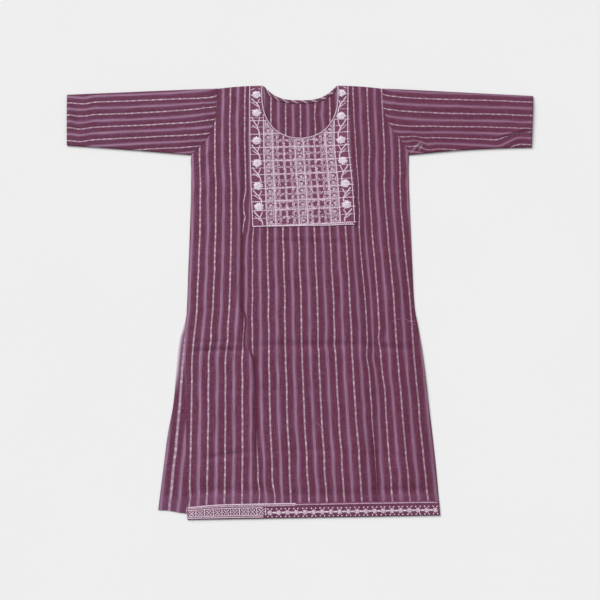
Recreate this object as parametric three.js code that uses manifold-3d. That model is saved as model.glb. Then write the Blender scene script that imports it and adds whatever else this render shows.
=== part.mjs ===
// A straight-cut kurti laid flat on its back, front up, as a three.js scene graph.
// Millimetres. +Z is up from the floor, +Y runs from hem to shoulders, and +X is to the
// right of someone who looks at the front. Left and right are named from that side.
// The origin lies on the floor under the middle of the garment's bounding box.

import * as THREE from "three";
import { mergeVertices } from "three/addons/utils/BufferGeometryUtils.js";
import Module from "manifold-3d";

const wasm = await Module();
wasm.setup();

// Driving dimensions
const length = 1031; // shoulder to the lowest point of the front hem
const cuffToCuff = 1128;
const cloth = 1.2; // wall of the striped cloth, one layer
const seamGap = 0.3; // clearance that stands for a seam or for cloth on cloth
const shoulderDrop = 9; // from the top of the shoulder seam to the armhole
const shoulderInner = 89; // half width of the neck at the shoulder seam
const shoulderOuter = 199.5; // half width across the shoulders
const neckHalfWidth = 91;
const frontNeckDepth = 151;
const backNeckDepth = 43;
const neckBinding = 3.2; // width of the edging round the front neckline
const backFacing = 9.5; // width of the bias strip inside the back neckline
const yokeDepth = 387; // shoulder to the lower edge of the yoke
const yokeWidth = 236;
const yokeCloth = 1.0;
const hemBandHeight = 28;
const hemBandCloth = 1.0;
const sleeveEdge = 1.9; // radius of the folded edge along a flattened sleeve
const armholeLap = 8; // how far a sleeve is drawn into the body before the armhole trims it
const puff = 1.5; // how far the front stands clear of the back inside its seams
const overhang = 20; // how far past the back's edge the front starts to sink to the floor

const top = length / 2;
const bottom = -length / 2;

// Side edges of the front, by distance below the shoulder. Armhole to 196, then the side
// seam to 598, then the free edges of the side slits. The skirt swings to the right.
const frontSides = [
  { down: 0, left: -199.0, right: 199.8 },
  { down: 45, left: -201.5, right: 199.8 },
  { down: 80, left: -201.5, right: 203.2 },
  { down: 105, left: -203.5, right: 210.5 },
  { down: 125, left: -209.5, right: 218.7 },
  { down: 145, left: -217.0, right: 231.0 },
  { down: 165, left: -228.5, right: 244.5 },
  { down: 182, left: -241.5, right: 252.0 },
  { down: 196, left: -254.6, right: 254.8 },
  { down: 240, left: -253.4, right: 253.0 },
  { down: 300, left: -250.8, right: 251.2 },
  { down: 400, left: -248.8, right: 250.2 },
  { down: 500, left: -247.4, right: 249.2 },
  { down: 560, left: -246.4, right: 249.0 },
  { down: 598, left: -246.2, right: 251.0 },
  { down: 630, left: -247.4, right: 254.8 },
  { down: 700, left: -245.0, right: 262.0 },
  { down: 805, left: -237.5, right: 268.0 },
  { down: 920, left: -229.5, right: 274.6 },
  { down: 1031, left: -222.2, right: 277.5 },
];

// The back shares the front's edges down to the slits, then its skirt swings to the left.
const slitDown = 598;
const backSkirt = [
  { down: 630, left: -252.6, right: 249.5 },
  { down: 651, left: -257.4, right: 248.6 },
  { down: 705, left: -260.8, right: 246.5 },
  { down: 766, left: -262.0, right: 244.5 },
  { down: 805, left: -264.2, right: 243.0 },
  { down: 856, left: -271.0, right: 241.5 },
  { down: 921, left: -275.6, right: 240.0 },
  { down: 1031, left: -282.6, right: 237.5 },
];
const backSides = frontSides.filter((row) => row.down <= slitDown).concat(backSkirt);

// Hems as straight lines across, given by how far down they lie at two places
const frontHem = { leftX: -222, leftDown: 1031, rightX: 277, rightDown: 1022.5 };
const backHem = [
  { x: -290, down: 1012 },
  { x: -262, down: 1013 },
  { x: -224, down: 1018.5 },
  { x: 240, down: 1019 },
];

// Large soft folds down the front: each runs through its points and fades at both ends.
// A trough has a negative height.
const frontFolds = [
  { name: "left tuck", height: 1.5, halfWidth: 13, points: [
    { down: 60, x: -134 }, { down: 417, x: -128 }, { down: 563, x: -121 },
    { down: 667, x: -115 }, { down: 830, x: -90 }, { down: 1020, x: -82 }] },
  { name: "left tuck shadow", height: -1.1, halfWidth: 12, points: [
    { down: 240, x: -150 }, { down: 417, x: -147 }, { down: 563, x: -142 },
    { down: 667, x: -136 }, { down: 830, x: -113 }, { down: 980, x: -106 }] },
  { name: "right tuck", height: 1.4, halfWidth: 13, points: [
    { down: 60, x: 138 }, { down: 289, x: 142 }, { down: 397, x: 134 },
    { down: 563, x: 145 }, { down: 723, x: 155 }, { down: 1020, x: 151 }] },
  { name: "right tuck shadow", height: -1.0, halfWidth: 12, points: [
    { down: 240, x: 163 }, { down: 397, x: 156 }, { down: 563, x: 166 },
    { down: 723, x: 176 }, { down: 940, x: 172 }] },
];

// Creases across the front, left from folding: middle, slope along the reach, and size
const crossFolds = [
  { name: "hip crease", down: 655, rise: 0.5, height: 1.1, halfWidth: 15, x: 10, reach: 250 },
  { name: "hip crease shadow", down: 682, rise: 0.5, height: -0.9, halfWidth: 13, x: 10, reach: 250 },
  { name: "waist crease", down: 450, rise: -4, height: 0.8, halfWidth: 16, x: -190, reach: 70 },
  { name: "crease under the yoke", down: 412, rise: 3, height: 0.9, halfWidth: 15, x: 30, reach: 150 },
  { name: "knee crease", down: 909, rise: -3, height: 0.9, halfWidth: 16, x: -80, reach: 170 },
  { name: "thigh crease", down: 770, rise: 2, height: 0.7, halfWidth: 18, x: 60, reach: 180 },
];

// The sleeves run straight from the armhole out to the cuff; lowBow lifts the lower edge
const cuffLine = {
  left: { topX: -cuffToCuff / 2, topDown: 27.5, lowX: -549.5, lowDown: 170, lowBow: 1 },
  right: { topX: cuffToCuff / 2, topDown: 31, lowX: 545.5, lowDown: 175.5, lowBow: 4 },
};
const sleeveFolds = [
  { along: 0.06, across: 0.62, height: 0.7, alongHalf: 0.08, acrossHalf: 0.22 },
  { along: 0.22, across: 0.8, height: 0.6, alongHalf: 0.12, acrossHalf: 0.12 },
  { along: 0.42, across: 0.35, height: 0.5, alongHalf: 0.15, acrossHalf: 0.14 },
  { along: 0.7, across: 0.6, height: 0.6, alongHalf: 0.14, acrossHalf: 0.16 },
  { along: 0.92, across: 0.75, height: 0.5, alongHalf: 0.08, acrossHalf: 0.12 },
];

const plum = { color: 0x6f4658, roughness: 0.92, metalness: 0 };
const dullWhite = { color: 0xa58998, roughness: 0.9, metalness: 0 };
const paleThread = { color: 0xcdbfca, roughness: 0.85, metalness: 0 };

// A smooth curve through one column of a table whose first column is "down" (or another key)
function through(rows, column, key = "down") {
  const slopeAt = (i) => {
    const before = rows[Math.max(i - 1, 0)];
    const after = rows[Math.min(i + 1, rows.length - 1)];
    return (after[column] - before[column]) / (after[key] - before[key]);
  };
  return (at) => {
    let i = rows.findIndex((row) => row[key] > at) - 1;
    if (i === -2) i = rows.length - 2;
    i = Math.max(i, 0);
    const span = rows[i + 1][key] - rows[i][key];
    const t = THREE.MathUtils.clamp((at - rows[i][key]) / span, 0, 1);
    const rise = rows[i + 1][column] - rows[i][column];
    const a = slopeAt(i) * span - rise;
    const b = rise - slopeAt(i + 1) * span;
    return rows[i][column] + t * rise + t * (1 - t) * ((1 - t) * a + t * b);
  };
}

const smooth = (t) => THREE.MathUtils.smoothstep(t, 0, 1);
const bell = (t) => Math.exp(-t * t);

const frontLeft = through(frontSides, "left");
const frontRight = through(frontSides, "right");
const backLeft = through(backSides, "left");
const backRight = through(backSides, "right");
const backHemDown = through(backHem, "down", "x");

// Height on the page of the shoulder seam and of the front hem, at a place across
function shoulderY(x) {
  const out = Math.max(Math.abs(x) - shoulderInner, 0) / (shoulderOuter - shoulderInner);
  return top - shoulderDrop * out * out;
}

function frontHemY(x) {
  const part = (x - frontHem.leftX) / (frontHem.rightX - frontHem.leftX);
  return top - THREE.MathUtils.lerp(frontHem.leftDown, frontHem.rightDown, part);
}

// A fold that runs down the cloth: 1 on its line, fading to each side and at both ends
function foldAt(fold, x, down) {
  const line = through(fold.points, "x");
  const first = fold.points[0].down;
  const last = fold.points[fold.points.length - 1].down;
  const ends = smooth((down - first) / 90) * smooth((last - down) / 60);
  return fold.height * ends * bell((x - line(down)) / fold.halfWidth);
}

function crossFoldAt(fold, x, down) {
  const across = (x - fold.x) / fold.reach;
  const line = fold.down + fold.rise * across;
  return fold.height * smooth(1.6 * (1 - Math.abs(across))) * bell((down - line) / fold.halfWidth);
}

// Height of the front's underside over the floor. At its seams it lies on the back, and
// where it reaches past the back it comes down to the floor.
function frontUnder(x, y) {
  const down = top - y;
  const fromSide = Math.min(x - frontLeft(down), frontRight(down) - x);
  const fromEnds = Math.min(shoulderY(x) - y, (y - frontHemY(x)) * 1.3);
  const inside = smooth(fromSide / 48) * smooth(fromEnds / 48);
  let lift = puff;
  for (const fold of frontFolds) lift += foldAt(fold, x, down);
  for (const fold of crossFolds) lift += crossFoldAt(fold, x, down);
  const past = down > slitDown ? x - backRight(down) - overhang : 0;
  const floorDrop = (cloth + seamGap) * smooth(past / 14);
  return cloth + seamGap + inside * Math.max(lift, 0.2) - floorDrop;
}

// Outlines on the page, as lists of points
function steps(from, to, count) {
  return Array.from({ length: count + 1 }, (_, i) => from + ((to - from) * i) / count);
}

function sidePoints(edge, fromDown, toDown, count) {
  return steps(fromDown, toDown, count).map((down) => new THREE.Vector2(edge(down), top - down));
}

// Front neckline from the left shoulder round to the right one, grown by an amount
function frontNeck(grow, count = 30) {
  return steps(Math.PI, 0, count).map((angle) => {
    const depth = (frontNeckDepth + grow) * Math.pow(Math.sin(angle), 2 / 3);
    return new THREE.Vector2((neckHalfWidth + grow) * Math.cos(angle), top - depth);
  });
}

function backNeck(grow, count = 20) {
  const half = shoulderInner + grow;
  return steps(-half, half, count).map((x) => {
    const depth = (backNeckDepth + grow) * (1 - Math.pow(Math.abs(x) / half, 3));
    return new THREE.Vector2(x, top - depth);
  });
}

const above = (points, over) => [
  new THREE.Vector2(points[0].x, points[0].y + over),
  ...points,
  new THREE.Vector2(points[points.length - 1].x, points[points.length - 1].y + over),
];

// Solids
function solidOf(geometry) {
  geometry.deleteAttribute("normal");
  geometry.deleteAttribute("uv");
  const merged = mergeVertices(geometry, 1e-5);
  const mesh = new wasm.Mesh({
    numProp: 3,
    vertProperties: new Float32Array(merged.attributes.position.array),
    triVerts: new Uint32Array(merged.index.array),
  });
  return new wasm.Manifold(mesh);
}

function geometryOf(solid) {
  const mesh = solid.getMesh();
  const geometry = new THREE.BufferGeometry();
  geometry.setAttribute("position", new THREE.BufferAttribute(mesh.vertProperties, 3));
  geometry.setIndex(new THREE.BufferAttribute(mesh.triVerts, 1));
  return geometry;
}

function prism(points, low = -5, high = 30) {
  const geometry = new THREE.ExtrudeGeometry(new THREE.Shape(points), {
    depth: high - low,
    bevelEnabled: false,
  });
  geometry.translate(0, 0, low);
  return solidOf(geometry);
}

// A closed sheet over a grid: place(i, j) gives the page point, under and over the heights
function sheet(columns, rows, place, under, over) {
  const positions = [];
  for (const height of [under, over]) {
    for (const down of rows) {
      for (const column of columns) {
        const [x, y] = place(column, down);
        positions.push(x, y, height(x, y));
      }
    }
  }
  const wide = columns.length;
  const layer = wide * rows.length;
  const index = [];
  const quad = (a, b, c, d) => index.push(a, b, c, a, c, d);
  for (let j = 0; j + 1 < rows.length; j += 1) {
    for (let i = 0; i + 1 < wide; i += 1) {
      const a = j * wide + i;
      const d = a + wide;
      quad(a, a + 1, d + 1, d);
      quad(layer + a, layer + d, layer + d + 1, layer + a + 1);
    }
  }
  const rim = [];
  for (let i = 0; i < wide; i += 1) rim.push(i);
  for (let j = 1; j < rows.length; j += 1) rim.push(j * wide + wide - 1);
  for (let i = wide - 2; i >= 0; i -= 1) rim.push((rows.length - 1) * wide + i);
  for (let j = rows.length - 2; j > 0; j -= 1) rim.push(j * wide);
  rim.forEach((a, n) => {
    const b = rim[(n + 1) % rim.length];
    quad(a, layer + a, layer + b, b);
  });
  const geometry = new THREE.BufferGeometry();
  geometry.setAttribute("position", new THREE.Float32BufferAttribute(positions, 3));
  geometry.setIndex(index);
  return solidOf(geometry);
}

// The front's grid: columns are shares of the width and follow the swing of the skirt
const sideMargin = 8;
function frontPlace(share, down) {
  const low = Math.max(down, 196);
  const left = frontLeft(low) - sideMargin;
  const right = frontRight(low) + sideMargin;
  return [THREE.MathUtils.lerp(left, right, share), top - down];
}

const frontColumns = [
  ...steps(0, 0.18, 4), ...steps(0.205, 0.315, 6), ...steps(0.36, 0.68, 6),
  ...steps(0.72, 0.83, 6), ...steps(0.87, 1, 3),
];
const frontRows = [
  ...steps(-6, 384, 14), ...steps(400, 640, 10), ...steps(655, 700, 4),
  ...steps(725, 985, 10), ...steps(1000, 1040, 5),
];

function frontOutline() {
  const rightLow = top - frontHemY(frontHem.rightX);
  return [
    ...sidePoints(frontLeft, shoulderDrop, 196, 14),
    ...sidePoints(frontLeft, 220, frontHem.leftDown - 1, 26),
    new THREE.Vector2(frontHem.leftX, bottom),
    new THREE.Vector2(frontHem.rightX, frontHemY(frontHem.rightX)),
    ...sidePoints(frontRight, rightLow - 2, 220, 26),
    ...sidePoints(frontRight, 196, shoulderDrop, 14),
    ...steps(shoulderOuter - 1, -shoulderOuter + 1, 24).map((x) => new THREE.Vector2(x, shoulderY(x))),
  ];
}

function frontPanel() {
  const over = (x, y) => frontUnder(x, y) + cloth;
  return sheet(frontColumns, frontRows, frontPlace, frontUnder, over)
    .intersect(prism(frontOutline()))
    .subtract(prism(above(frontNeck(0), 20)));
}

// The back lies flat on the floor
function backPanel() {
  const hem = backHem.filter((point) => point.x > -282 && point.x < 238);
  const outline = [
    ...sidePoints(backLeft, shoulderDrop, 196, 14),
    ...sidePoints(backLeft, 220, backHemDown(-281), 26),
    ...hem.map((point) => new THREE.Vector2(point.x, top - point.down)),
    ...sidePoints(backRight, backHemDown(238), 220, 26),
    ...sidePoints(backRight, 196, shoulderDrop, 14),
    ...steps(shoulderOuter - 1, -shoulderOuter + 1, 24).map((x) => new THREE.Vector2(x, shoulderY(x))),
  ];
  return prism(outline, 0, cloth).subtract(prism(above(backNeck(0), 20)));
}

// Pieces that lie on the front are sheets over its own upper side
const onFront = (x, y) => frontUnder(x, y) + cloth + seamGap;

function yokeOutline() {
  const lean = 8; // the yoke's lower edge lies this far to the right of its upper one
  const half = yokeWidth / 2;
  const low = top - yokeDepth;
  return [
    new THREE.Vector2(-half - 2, top + 20),
    new THREE.Vector2(-half + lean, low),
    new THREE.Vector2(half + lean - 1, low + 1),
    new THREE.Vector2(half - 1, top + 20),
  ];
}

const yokePlace = (x, down) => [x, top - down];

function yokePanel() {
  const over = (x, y) => onFront(x, y) + yokeCloth;
  return sheet(steps(-135, 135, 12), steps(-6, 394, 17), yokePlace, onFront, over)
    .intersect(prism(yokeOutline()))
    .intersect(prism(frontOutline()))
    .subtract(prism(above(frontNeck(neckBinding + seamGap), 20)));
}

function frontNeckBinding() {
  const over = (x, y) => onFront(x, y) + yokeCloth;
  return sheet(steps(-105, 105, 14), steps(-6, 165, 9), yokePlace, onFront, over)
    .intersect(prism(above(frontNeck(neckBinding), 20)))
    .intersect(prism(frontOutline()))
    .subtract(prism(above(frontNeck(0.1), 20)));
}

function backNeckFacing() {
  const low = cloth + seamGap;
  return prism(above(backNeck(backFacing), 20), low, low + 1)
    .intersect(prism(above(frontNeck(-0.4), 20)))
    .intersect(prism(frontOutline()))
    .subtract(prism(above(backNeck(0.2), 20)));
}

function hemBand() {
  const over = (x, y) => onFront(x, y) + hemBandCloth;
  const left = frontHem.leftX - 4;
  const right = frontHem.rightX + 4;
  const place = (x, up) => [x, frontHemY(x) + up];
  const upward = [-3, 3, 9, 15, 21, 27, 32];
  const band = [
    new THREE.Vector2(left, frontHemY(left) + hemBandHeight),
    new THREE.Vector2(left, frontHemY(left) - 5),
    new THREE.Vector2(right, frontHemY(right) - 5),
    new THREE.Vector2(right, frontHemY(right) + hemBandHeight),
  ];
  return sheet(steps(left, right, 26), upward.reverse(), place, onFront, over)
    .intersect(prism(band))
    .intersect(prism(frontOutline()));
}

// A sleeve is a flattened tube, open at the armhole and at the cuff. Each ring crosses it
// from the upper edge to the lower one: over the top layer and back under the bottom one.
// The armhole's own outline, moved out by a seam's clearance, trims the inner end.
function sleeve(side) {
  const cuff = cuffLine[side];
  const sign = side === "left" ? -1 : 1;
  const armhole = side === "left" ? frontLeft : frontRight;
  const armholeTop = shoulderDrop;
  const armholeLow = 196;
  const place = (along, across) => {
    const down = THREE.MathUtils.lerp(armholeTop, armholeLow, across);
    const inner = new THREE.Vector2(armhole(down) - sign * armholeLap, top - down);
    const outer = new THREE.Vector2(
      THREE.MathUtils.lerp(cuff.topX, cuff.lowX, across),
      top - THREE.MathUtils.lerp(cuff.topDown, cuff.lowDown, across),
    );
    const at = inner.lerp(outer, along);
    at.y += cuff.lowBow * across * Math.sin(Math.PI * along);
    return at;
  };
  const upper = (along, across) => {
    const middle = smooth(Math.min(across, 1 - across) / 0.3);
    let lift = 1.3 * middle;
    for (const fold of sleeveFolds) {
      const a = (along - fold.along) / fold.alongHalf;
      const b = (across - fold.across) / fold.acrossHalf;
      lift += middle * fold.height * bell(Math.hypot(a, b));
    }
    return 2 * sleeveEdge + lift;
  };
  const overShares = [0.05, 0.14, 0.25, 0.37, 0.5, 0.63, 0.75, 0.86, 0.95];
  const underShares = [0.95, 0.7, 0.5, 0.3, 0.05];
  const ring = (along, inset) => {
    const width = place(along, 0).distanceTo(place(along, 1));
    const radius = sleeveEdge - inset;
    const points = [];
    const add = (across, z) => {
      const at = place(along, across);
      points.push([at.x, at.y, z]);
    };
    const edge = (angle) => [(inset + radius * (1 - Math.cos(angle))) / width, radius * Math.sin(angle)];
    for (const angle of [0, Math.PI / 4]) {
      const [share, rise] = edge(angle);
      add(share, sleeveEdge + rise);
    }
    for (const share of overShares) add(share, upper(along, share) - inset);
    for (const angle of [Math.PI / 4, 0, -Math.PI / 4]) {
      const [share, rise] = edge(angle);
      add(1 - share, sleeveEdge + rise);
    }
    for (const share of underShares) add(share, inset);
    const [share, rise] = edge(-Math.PI / 4);
    add(share, sleeveEdge + rise);
    return points;
  };
  const stations = [...steps(0, 0.3, 5), ...steps(0.4, 1, 7)];
  const outer = stations.map((along) => ring(along, 0));
  const inner = stations.map((along) => ring(along, cloth));
  const body = frontOutline().map((point) => point.add(new THREE.Vector2(sign * seamGap * 1.5, 0)));
  return tube(outer, inner, sign).subtract(prism(body));
}

// A closed wall between two sets of rings, with a flat rim at each end
function tube(outer, inner, sign) {
  const around = outer[0].length;
  const positions = [...outer, ...inner].flat(2);
  const index = [];
  const quad = (a, b, c, d) => {
    if (sign > 0) index.push(a, b, c, a, c, d);
    else index.push(a, c, b, a, d, c);
  };
  const rings = outer.length;
  const at = (set, ringIndex, k) => (set * rings + ringIndex) * around + (k % around);
  for (let k = 0; k < around; k += 1) {
    for (let r = 0; r + 1 < rings; r += 1) {
      quad(at(0, r, k), at(0, r, k + 1), at(0, r + 1, k + 1), at(0, r + 1, k));
      quad(at(1, r, k), at(1, r + 1, k), at(1, r + 1, k + 1), at(1, r, k + 1));
    }
    quad(at(0, 0, k), at(1, 0, k), at(1, 0, k + 1), at(0, 0, k + 1));
    quad(at(0, rings - 1, k), at(0, rings - 1, k + 1), at(1, rings - 1, k + 1), at(1, rings - 1, k));
  }
  const geometry = new THREE.BufferGeometry();
  geometry.setAttribute("position", new THREE.Float32BufferAttribute(positions, 3));
  geometry.setIndex(index);
  return solidOf(geometry);
}

const kurti = new THREE.Group();

function addPiece(name, solid, look) {
  const mesh = new THREE.Mesh(geometryOf(solid), new THREE.MeshStandardMaterial(look));
  mesh.name = name;
  kurti.add(mesh);
}

addPiece("back_panel", backPanel(), plum);
addPiece("front_panel", frontPanel(), plum);
addPiece("sleeve_left", sleeve("left"), plum);
addPiece("sleeve_right", sleeve("right"), plum);
addPiece("yoke_panel", yokePanel(), dullWhite);
addPiece("front_neck_binding", frontNeckBinding(), paleThread);
addPiece("back_neck_facing", backNeckFacing(), dullWhite);
addPiece("hem_band", hemBand(), dullWhite);

export default kurti;
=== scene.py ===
"""A straight-cut striped kurti laid flat on a pale floor, front up.

Metres. +Z is up from the floor, +Y runs from hem to shoulders and +X is to the right of
someone who looks at the front. "Down" is the distance below the top of the shoulders.
"""
import math

import bpy
import numpy as np
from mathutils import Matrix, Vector, noise


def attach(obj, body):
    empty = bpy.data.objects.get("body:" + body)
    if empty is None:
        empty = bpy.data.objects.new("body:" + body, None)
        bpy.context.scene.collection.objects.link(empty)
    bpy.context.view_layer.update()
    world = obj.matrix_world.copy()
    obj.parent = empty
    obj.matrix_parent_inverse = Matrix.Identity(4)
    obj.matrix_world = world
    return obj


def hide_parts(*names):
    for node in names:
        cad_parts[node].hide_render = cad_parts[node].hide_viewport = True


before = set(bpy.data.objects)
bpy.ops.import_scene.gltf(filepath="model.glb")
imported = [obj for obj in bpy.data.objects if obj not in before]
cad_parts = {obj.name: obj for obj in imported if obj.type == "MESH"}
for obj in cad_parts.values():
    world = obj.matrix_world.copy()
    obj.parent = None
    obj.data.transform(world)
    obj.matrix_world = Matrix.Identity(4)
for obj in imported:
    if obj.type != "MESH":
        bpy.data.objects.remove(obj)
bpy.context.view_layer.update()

# Sizes of the cut, as in the solid model
LENGTH = 1.031
TOP = LENGTH / 2
CUFF_TO_CUFF = 1.128
WALL = 0.0012
GAP = 0.0003
SHOULDER_DROP = 0.009
SHOULDER_INNER = 0.089
SHOULDER_OUTER = 0.1995
NECK_HALF = 0.091
FRONT_NECK_DEPTH = 0.151
BACK_NECK_DEPTH = 0.043
NECK_BINDING = 0.0032
BACK_FACING = 0.0095
YOKE_DEPTH = 0.387
YOKE_WIDTH = 0.236
YOKE_LOWER_RISE = 0.004
HEM_BAND = 0.028
SLEEVE_EDGE = 0.0019
PUFF_TOP, PUFF_LOW = 0.0018, 0.0036
OVERHANG = 0.020
ARMHOLE_LOW = 0.196
SLIT_DOWN = 0.598

# Sizes of the cloth, its stripes, seams and stitches
CLOTH = 0.0009
YOKE_CLOTH = 0.0006
STRIPE = 0.0354
BEAD_PITCH = 0.0158
BIAS_PITCH = 0.0235
WEAVE_PITCH = 0.00055
SLEEVE_LENGTH = 0.365
NECKLINE_LENGTH = 0.43
SEAM_ROLL = 0.0024
SEAM_INSIDE = 0.0048
FRONT_TURNED_UP = 0.980
BACK_TURNED_UP = 0.030
FOLD_SOFT = 0.0012
# Half width of the tuck mark, which hides the stripes in a fold and paints shade over it; then
# the hidden widths at which that mark is full
TUCK_SHADE_HALF = 0.0036
TUCK_FULL, RIGHT_TUCK_FULL = 0.0166, 0.0150
MACHINE_PITCH, MACHINE_STITCH, MACHINE_INSET = 0.0042, 0.0030, 0.0065
MACHINE_THREAD = (0.0007, 0.0006)
GRID_STITCH, VINE_STITCH = 0.0030, 0.0024
ROSE_SEED, CHECK_SEED, HEM_SEED = 5, 11, 3


def mm(rows, plain=()):
    """A table in millimetres turned to metres. The columns named as plain stay as they are."""
    return [tuple(value if column in plain else value / 1000
                  for column, value in enumerate(row)) for row in rows]


# Side edges of the front: down, left, right
FRONT_SIDES = mm([
    (0, -199.0, 199.8),
    (45, -201.5, 199.8),
    (80, -201.5, 203.2),
    (105, -203.5, 210.5),
    (125, -209.5, 218.7),
    (145, -217.0, 231.0),
    (165, -228.5, 244.5),
    (182, -241.5, 252.0),
    (196, -254.6, 254.8),
    (240, -253.4, 253.0),
    (300, -250.8, 251.2),
    (400, -248.8, 250.2),
    (500, -247.4, 249.2),
    (560, -246.4, 249.0),
    (598, -246.2, 251.0),
    (630, -247.4, 254.8),
    (700, -245.0, 262.0),
    (805, -237.5, 268.0),
    (920, -229.5, 274.6),
    (1031, -222.2, 277.5),
])

# Side edges of the back below the slits: down, left, right
BACK_SKIRT = mm([
    (630, -252.6, 249.5),
    (651, -257.4, 248.6),
    (705, -260.8, 246.5),
    (766, -262.0, 244.5),
    (805, -264.2, 243.0),
    (856, -271.0, 241.5),
    (921, -275.6, 240.0),
    (1031, -282.6, 237.5),
])
BACK_SIDES = [row for row in FRONT_SIDES if row[0] <= SLIT_DOWN] + BACK_SKIRT

# Hems: place across, down
FRONT_HEM = mm([(-222, 1031.0), (277, 1022.5)])
BACK_HEM = mm([(-290, 1012.0), (-262, 1013.0), (-224, 1018.5), (240, 1019.0)])

# Side edges of the yoke, and the rise of its rows of embroidery: down, left, right, rise
YOKE_SIDES = mm([
    (0, -123.5, 118.5, 3.0),
    (125, -120.3, 115.0, 4.8),
    (175, -118.7, 114.5, 6.6),
    (230, -116.5, 118.0, 8.5),
    (288, -113.4, 121.8, 10.8),
    (387, -107.8, 125.0, 11.0),
])

# Middle white stripe of the front, and the cloth that the two long tucks take up:
# down, middle, left tuck's place, taken up, softness, right tuck's place, taken up, softness
FRONT_WEAVE = mm([
    (60, -7.5, -121.5, 16.5, 5, 120, 7.0, 14),
    (181, -6.0, -119.0, 18.0, 5, 130, 8.0, 14),
    (240, -5.0, -116.5, 20.5, 6, 138, 11.0, 13),
    (289, -4.0, -112, 22.7, 10, 142, 14.0, 13),
    (417, -2.5, -112, 25.0, 10, 138, 12.0, 20),
    (562, 2.2, -111, 21.5, 6, 152, 10.5, 12),
    (640, 3.6, -112, 18.0, 6, 153, 10.0, 11),
    (700, 4.8, -100, 14.8, 10, 155, 10.0, 13),
    (851, 10.5, -94, 13.5, 12, 165, 10.5, 24),
    (930, 14.5, -82, 11.5, 12, 158, 10.8, 23),
    (989, 17.2, -84, 9.5, 16, 150, 11.0, 22),
    (1031, 19.2, -83, 9.0, 16, 150, 11.0, 22),
])

# Cloth that lies hidden in the long tuck at the left: down, place across, hidden width
TUCK = mm([
    (300, -131.0, 0.0), (352, -131.5, 3.0), (391, -132.0, 7.0), (412, -130.5, 15.0),
    (466, -128.9, 16.1), (562, -126.4, 16.6), (586, -125.0, 16.0), (609, -116.4, 14.0),
    (655, -118.1, 13.0), (671, -117.0, 13.0), (687, -104.5, 12.5), (700, -97.8, 14.0),
    (722, -94.2, 14.5), (788, -90.6, 14.6), (841, -88.7, 13.0), (872, -88.1, 8.0),
    (903, -87.5, 3.5), (935, -87.0, 0.0),
])

# The same for the tuck at the right, which only closes towards the hem
RIGHT_TUCK = mm([
    (800, 148.0, 0.0), (834, 150.0, 1.2), (865, 152.2, 3.5), (897, 154.1, 6.6),
    (923, 154.7, 8.0), (983, 154.5, 8.2), (1031, 155.6, 8.0),
])

# Small kinks of the stripes at creases: across, down, reach across, reach down, shift
KINKS = mm([
    (170, 656, 15, 18, -3.4), (192, 640, 20, 25, -1.6), (142, 692, 10, 20, -3.2),
    (155, 700, 12, 22, -3.0), (128, 345, 14, 22, 3.0), (-83, 983, 12, 22, 5.0),
    (-56, 990, 12, 20, 4.0), (-220, 990, 20, 14, 2.6), (178, 770, 14, 30, 2.2),
    (100, 505, 16, 30, 1.4), (-170, 655, 30, 14, 1.6), (60, 668, 40, 10, -1.0),
    (46, 85, 16, 16, -3.4), (-128, 325, 11, 28, -5.8), (-124, 362, 7, 8, 3.0),
    (-122, 386, 9, 16, -3.0), (-121, 470, 9, 22, -2.2),
])

# Middle white stripe of the back: down, middle
BACK_WEAVE = mm([(0, 1.0), (300, 2.0), (598, 4.5), (713, -0.3), (851, -3.8), (933, -8.0),
                 (1031, -12.0)])

# Long folds down the front: height and half width, then the line as down and across
LONG_FOLDS = [
    (0.0022, 0.011, mm([(60, -146), (240, -142), (417, -141), (563, -138), (660, -132)])),
    (-0.0028, 0.005, mm([(170, -131), (240, -130), (391, -131), (466, -128.9), (562, -126.4),
                         (600, -121), (665, -118)])),
    (0.0022, 0.010, mm([(600, -105), (660, -103), (700, -108), (788, -104), (830, -101),
                        (1020, -96)])),
    (-0.0022, 0.006, mm([(660, -118), (687, -104.5), (700, -97.8), (722, -94.2), (788, -90.6),
                         (841, -88.7), (960, -86.5)])),
    (0.0032, 0.026, mm([(60, 112), (289, 116), (397, 108), (563, 112), (723, 120),
                        (1020, 118)])),
    (-0.0012, 0.012, mm([(240, 152), (397, 150), (563, 158), (723, 168), (1020, 164)])),
    (-0.0022, 0.006, mm([(800, 148.0), (865, 152.2), (923, 154.7), (1031, 155.2)])),
    (0.0014, 0.012, mm([(340, 186), (563, 192), (723, 204), (1020, 212)])),
]

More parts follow.
